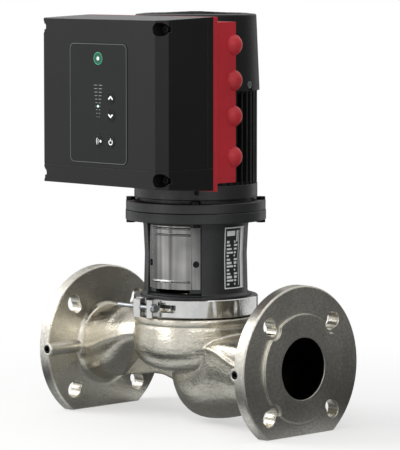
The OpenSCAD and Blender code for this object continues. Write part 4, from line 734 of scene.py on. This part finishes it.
# %% Floor
# Near the pump the paper takes its shadow, with a glow that keeps it light; further out it is
# plain white. The two shares together make white
PAPER_SHARE, GLOW_SHARE = 0.48, 0.52
paper_material, tree = empty_material("white_paper")
place = add(tree, "ShaderNodeNewGeometry").outputs["Position"]
away = add(tree, "ShaderNodeVectorMath", {1: CENTRE}, {0: place}, operation="DISTANCE")
far = spread(tree, away.outputs["Value"], 0, 1, 0.25, 0.75, interpolation_type="SMOOTHSTEP")
fade = product(tree, far, seen_rays(tree))
paper = add(tree, "ShaderNodeBsdfDiffuse", {"Color": (PAPER_SHARE, PAPER_SHARE, PAPER_SHARE, 1)})
near_glow = compute(tree, "MULTIPLY", seen_rays(tree), GLOW_SHARE)
glow = add(tree, "ShaderNodeEmission", {}, {"Strength": near_glow})
near = add(tree, "ShaderNodeAddShader", {}, {0: paper.outputs[0], 1: glow.outputs[0]})
white = add(tree, "ShaderNodeEmission", {"Strength": 1.0})
whole = add(tree, "ShaderNodeMixShader", {}, {0: fade, 1: near.outputs[0], 2: white.outputs[0]})
add(tree, "ShaderNodeOutputMaterial", {}, {0: whole.outputs[0]})
stage_plane("studio_floor", at_pump(0, 0, FLOOR_Z - 0.3), 12, 12, paper_material)

# %% World
WORLD_LIGHT = 0.4
bpy.context.scene.view_settings.view_transform = "Standard"
world = bpy.data.worlds.new("studio")
bpy.context.scene.world = world
world.use_nodes = True
tree = world.node_tree
tree.nodes.clear()
level = spread(tree, seen_rays(tree), WORLD_LIGHT, 1.0, 0, 1)
sky = add(tree, "ShaderNodeBackground", {"Color": (1, 1, 1, 1)}, {"Strength": level})
add(tree, "ShaderNodeOutputWorld", {}, {0: sky.outputs[0]})
print("world lights with", WORLD_LIGHT, "and shows as white")


# %% Grey cloths that only reflections see
def hang_cloth(name, azimuth, distance, width, top, grey):
    """A matt cloth that stands on the floor, up to a height in millimetres, and faces the pump."""
    material = bpy.data.materials.new("studio_cloth_" + grey[1:])
    material.use_nodes = True
    shader = material.node_tree.nodes["Principled BSDF"]
    shader.inputs["Base Color"].default_value = colour(grey)
    shader.inputs["Roughness"].default_value = 0.9
    a = radians(azimuth)
    middle = Vector((cos(a) * distance, sin(a) * distance, mm((FLOOR_Z + top) / 2)))
    stage_plane(name, CENTRE + middle, width, mm(top - FLOOR_Z), material,
                turn=(radians(90), 0, a + radians(90)), mirrored_only=True)


# Azimuth from +X in degrees, distance and width in metres, top in millimetres, grey
hang_cloth("cloth_back_right", 45, 1.3, 2.0, 700, "#5d5d5c")
hang_cloth("cloth_right", 8, 1.5, 0.8, 420, "#3c3b3a")
hang_cloth("cloth_back", 138, 0.6, 0.8, 395, "#807f7c")

# %% The floor as the metal sees it
# This plane isn't how real paper would be lit. Its bands, dark, light, dark and white again on the
# front side, were tried out until the casting's reflections came near those in the photograph
# The numbers below are strengths, and then distances in metres from the pump's middle line
PUMP_HALF_LENGTH = 0.1
shade_material, tree = empty_material("shaded_paper")
x, y, z = add(tree, "ShaderNodeSeparateXYZ", {},
              {0: add(tree, "ShaderNodeNewGeometry").outputs["Position"]}).outputs
along = compute(tree, "ABSOLUTE", compute(tree, "SUBTRACT", x, SHAFT_X))
along = compute(tree, "SUBTRACT", along, PUMP_HALF_LENGTH)
out = compute(tree, "MAXIMUM", compute(tree, "ABSOLUTE", y), along)
band = product(tree, spread(tree, out, 0.16, 0.88, 0.045, 0.08),
               spread(tree, out, 1.0, 0.06, 0.095, 0.125),
               spread(tree, along, 1.0, 0.45, 0.05, 0.075))
beyond = product(tree, spread(tree, out, 0.0, 0.85, 0.14, 0.34, interpolation_type="SMOOTHSTEP"),
                 spread(tree, y, 0.0, 1.0, 0.05, -0.08))
glow = add(tree, "ShaderNodeEmission", {"Color": (0.95, 0.98, 1, 1)},
           {"Strength": compute(tree, "ADD", band, beyond)})
add(tree, "ShaderNodeOutputMaterial", {}, {0: glow.outputs[0]})
stage_plane("floor_in_reflections", at_pump(0, 0, FLOOR_Z - 0.1), 1.7, 1.7, shade_material,
            mirrored_only=True)

# %% Lamps
LIT_POINT = at_pump(0, 0, 150)


def soft_lamp(name, azimuth, elevation, distance, size, watts):
    """A rectangular lamp that looks at the middle of the pump."""
    way = Vector((cos(radians(azimuth)) * cos(radians(elevation)),
                  sin(radians(azimuth)) * cos(radians(elevation)), sin(radians(elevation))))
    data = bpy.data.lights.new(name, "AREA")
    data.shape = "RECTANGLE"
    data.size, data.size_y = size
    data.energy = watts
    lamp = bpy.data.objects.new(name, data)
    bpy.context.collection.objects.link(lamp)
    lamp.location = LIT_POINT + way * distance
    lamp.rotation_euler = way.to_track_quat("Z", "Y").to_euler()
    print("lamp:", name, watts, "W")


# Azimuth from +X and elevation in degrees, distance and size in metres, watts
soft_lamp("key_left", 222, 36, 2.4, (1.4, 1.4), 30)
soft_lamp("fill_right", 345, 20, 2.8, (0.8, 1.2), 7)
soft_lamp("top", 300, 80, 2.2, (1.6, 1.6), 12)
soft_lamp("front_strip", 256, 10, 2.2, (0.5, 0.7), 7)
soft_lamp("front_fill", 314, 26, 2.4, (0.5, 0.5), 5)
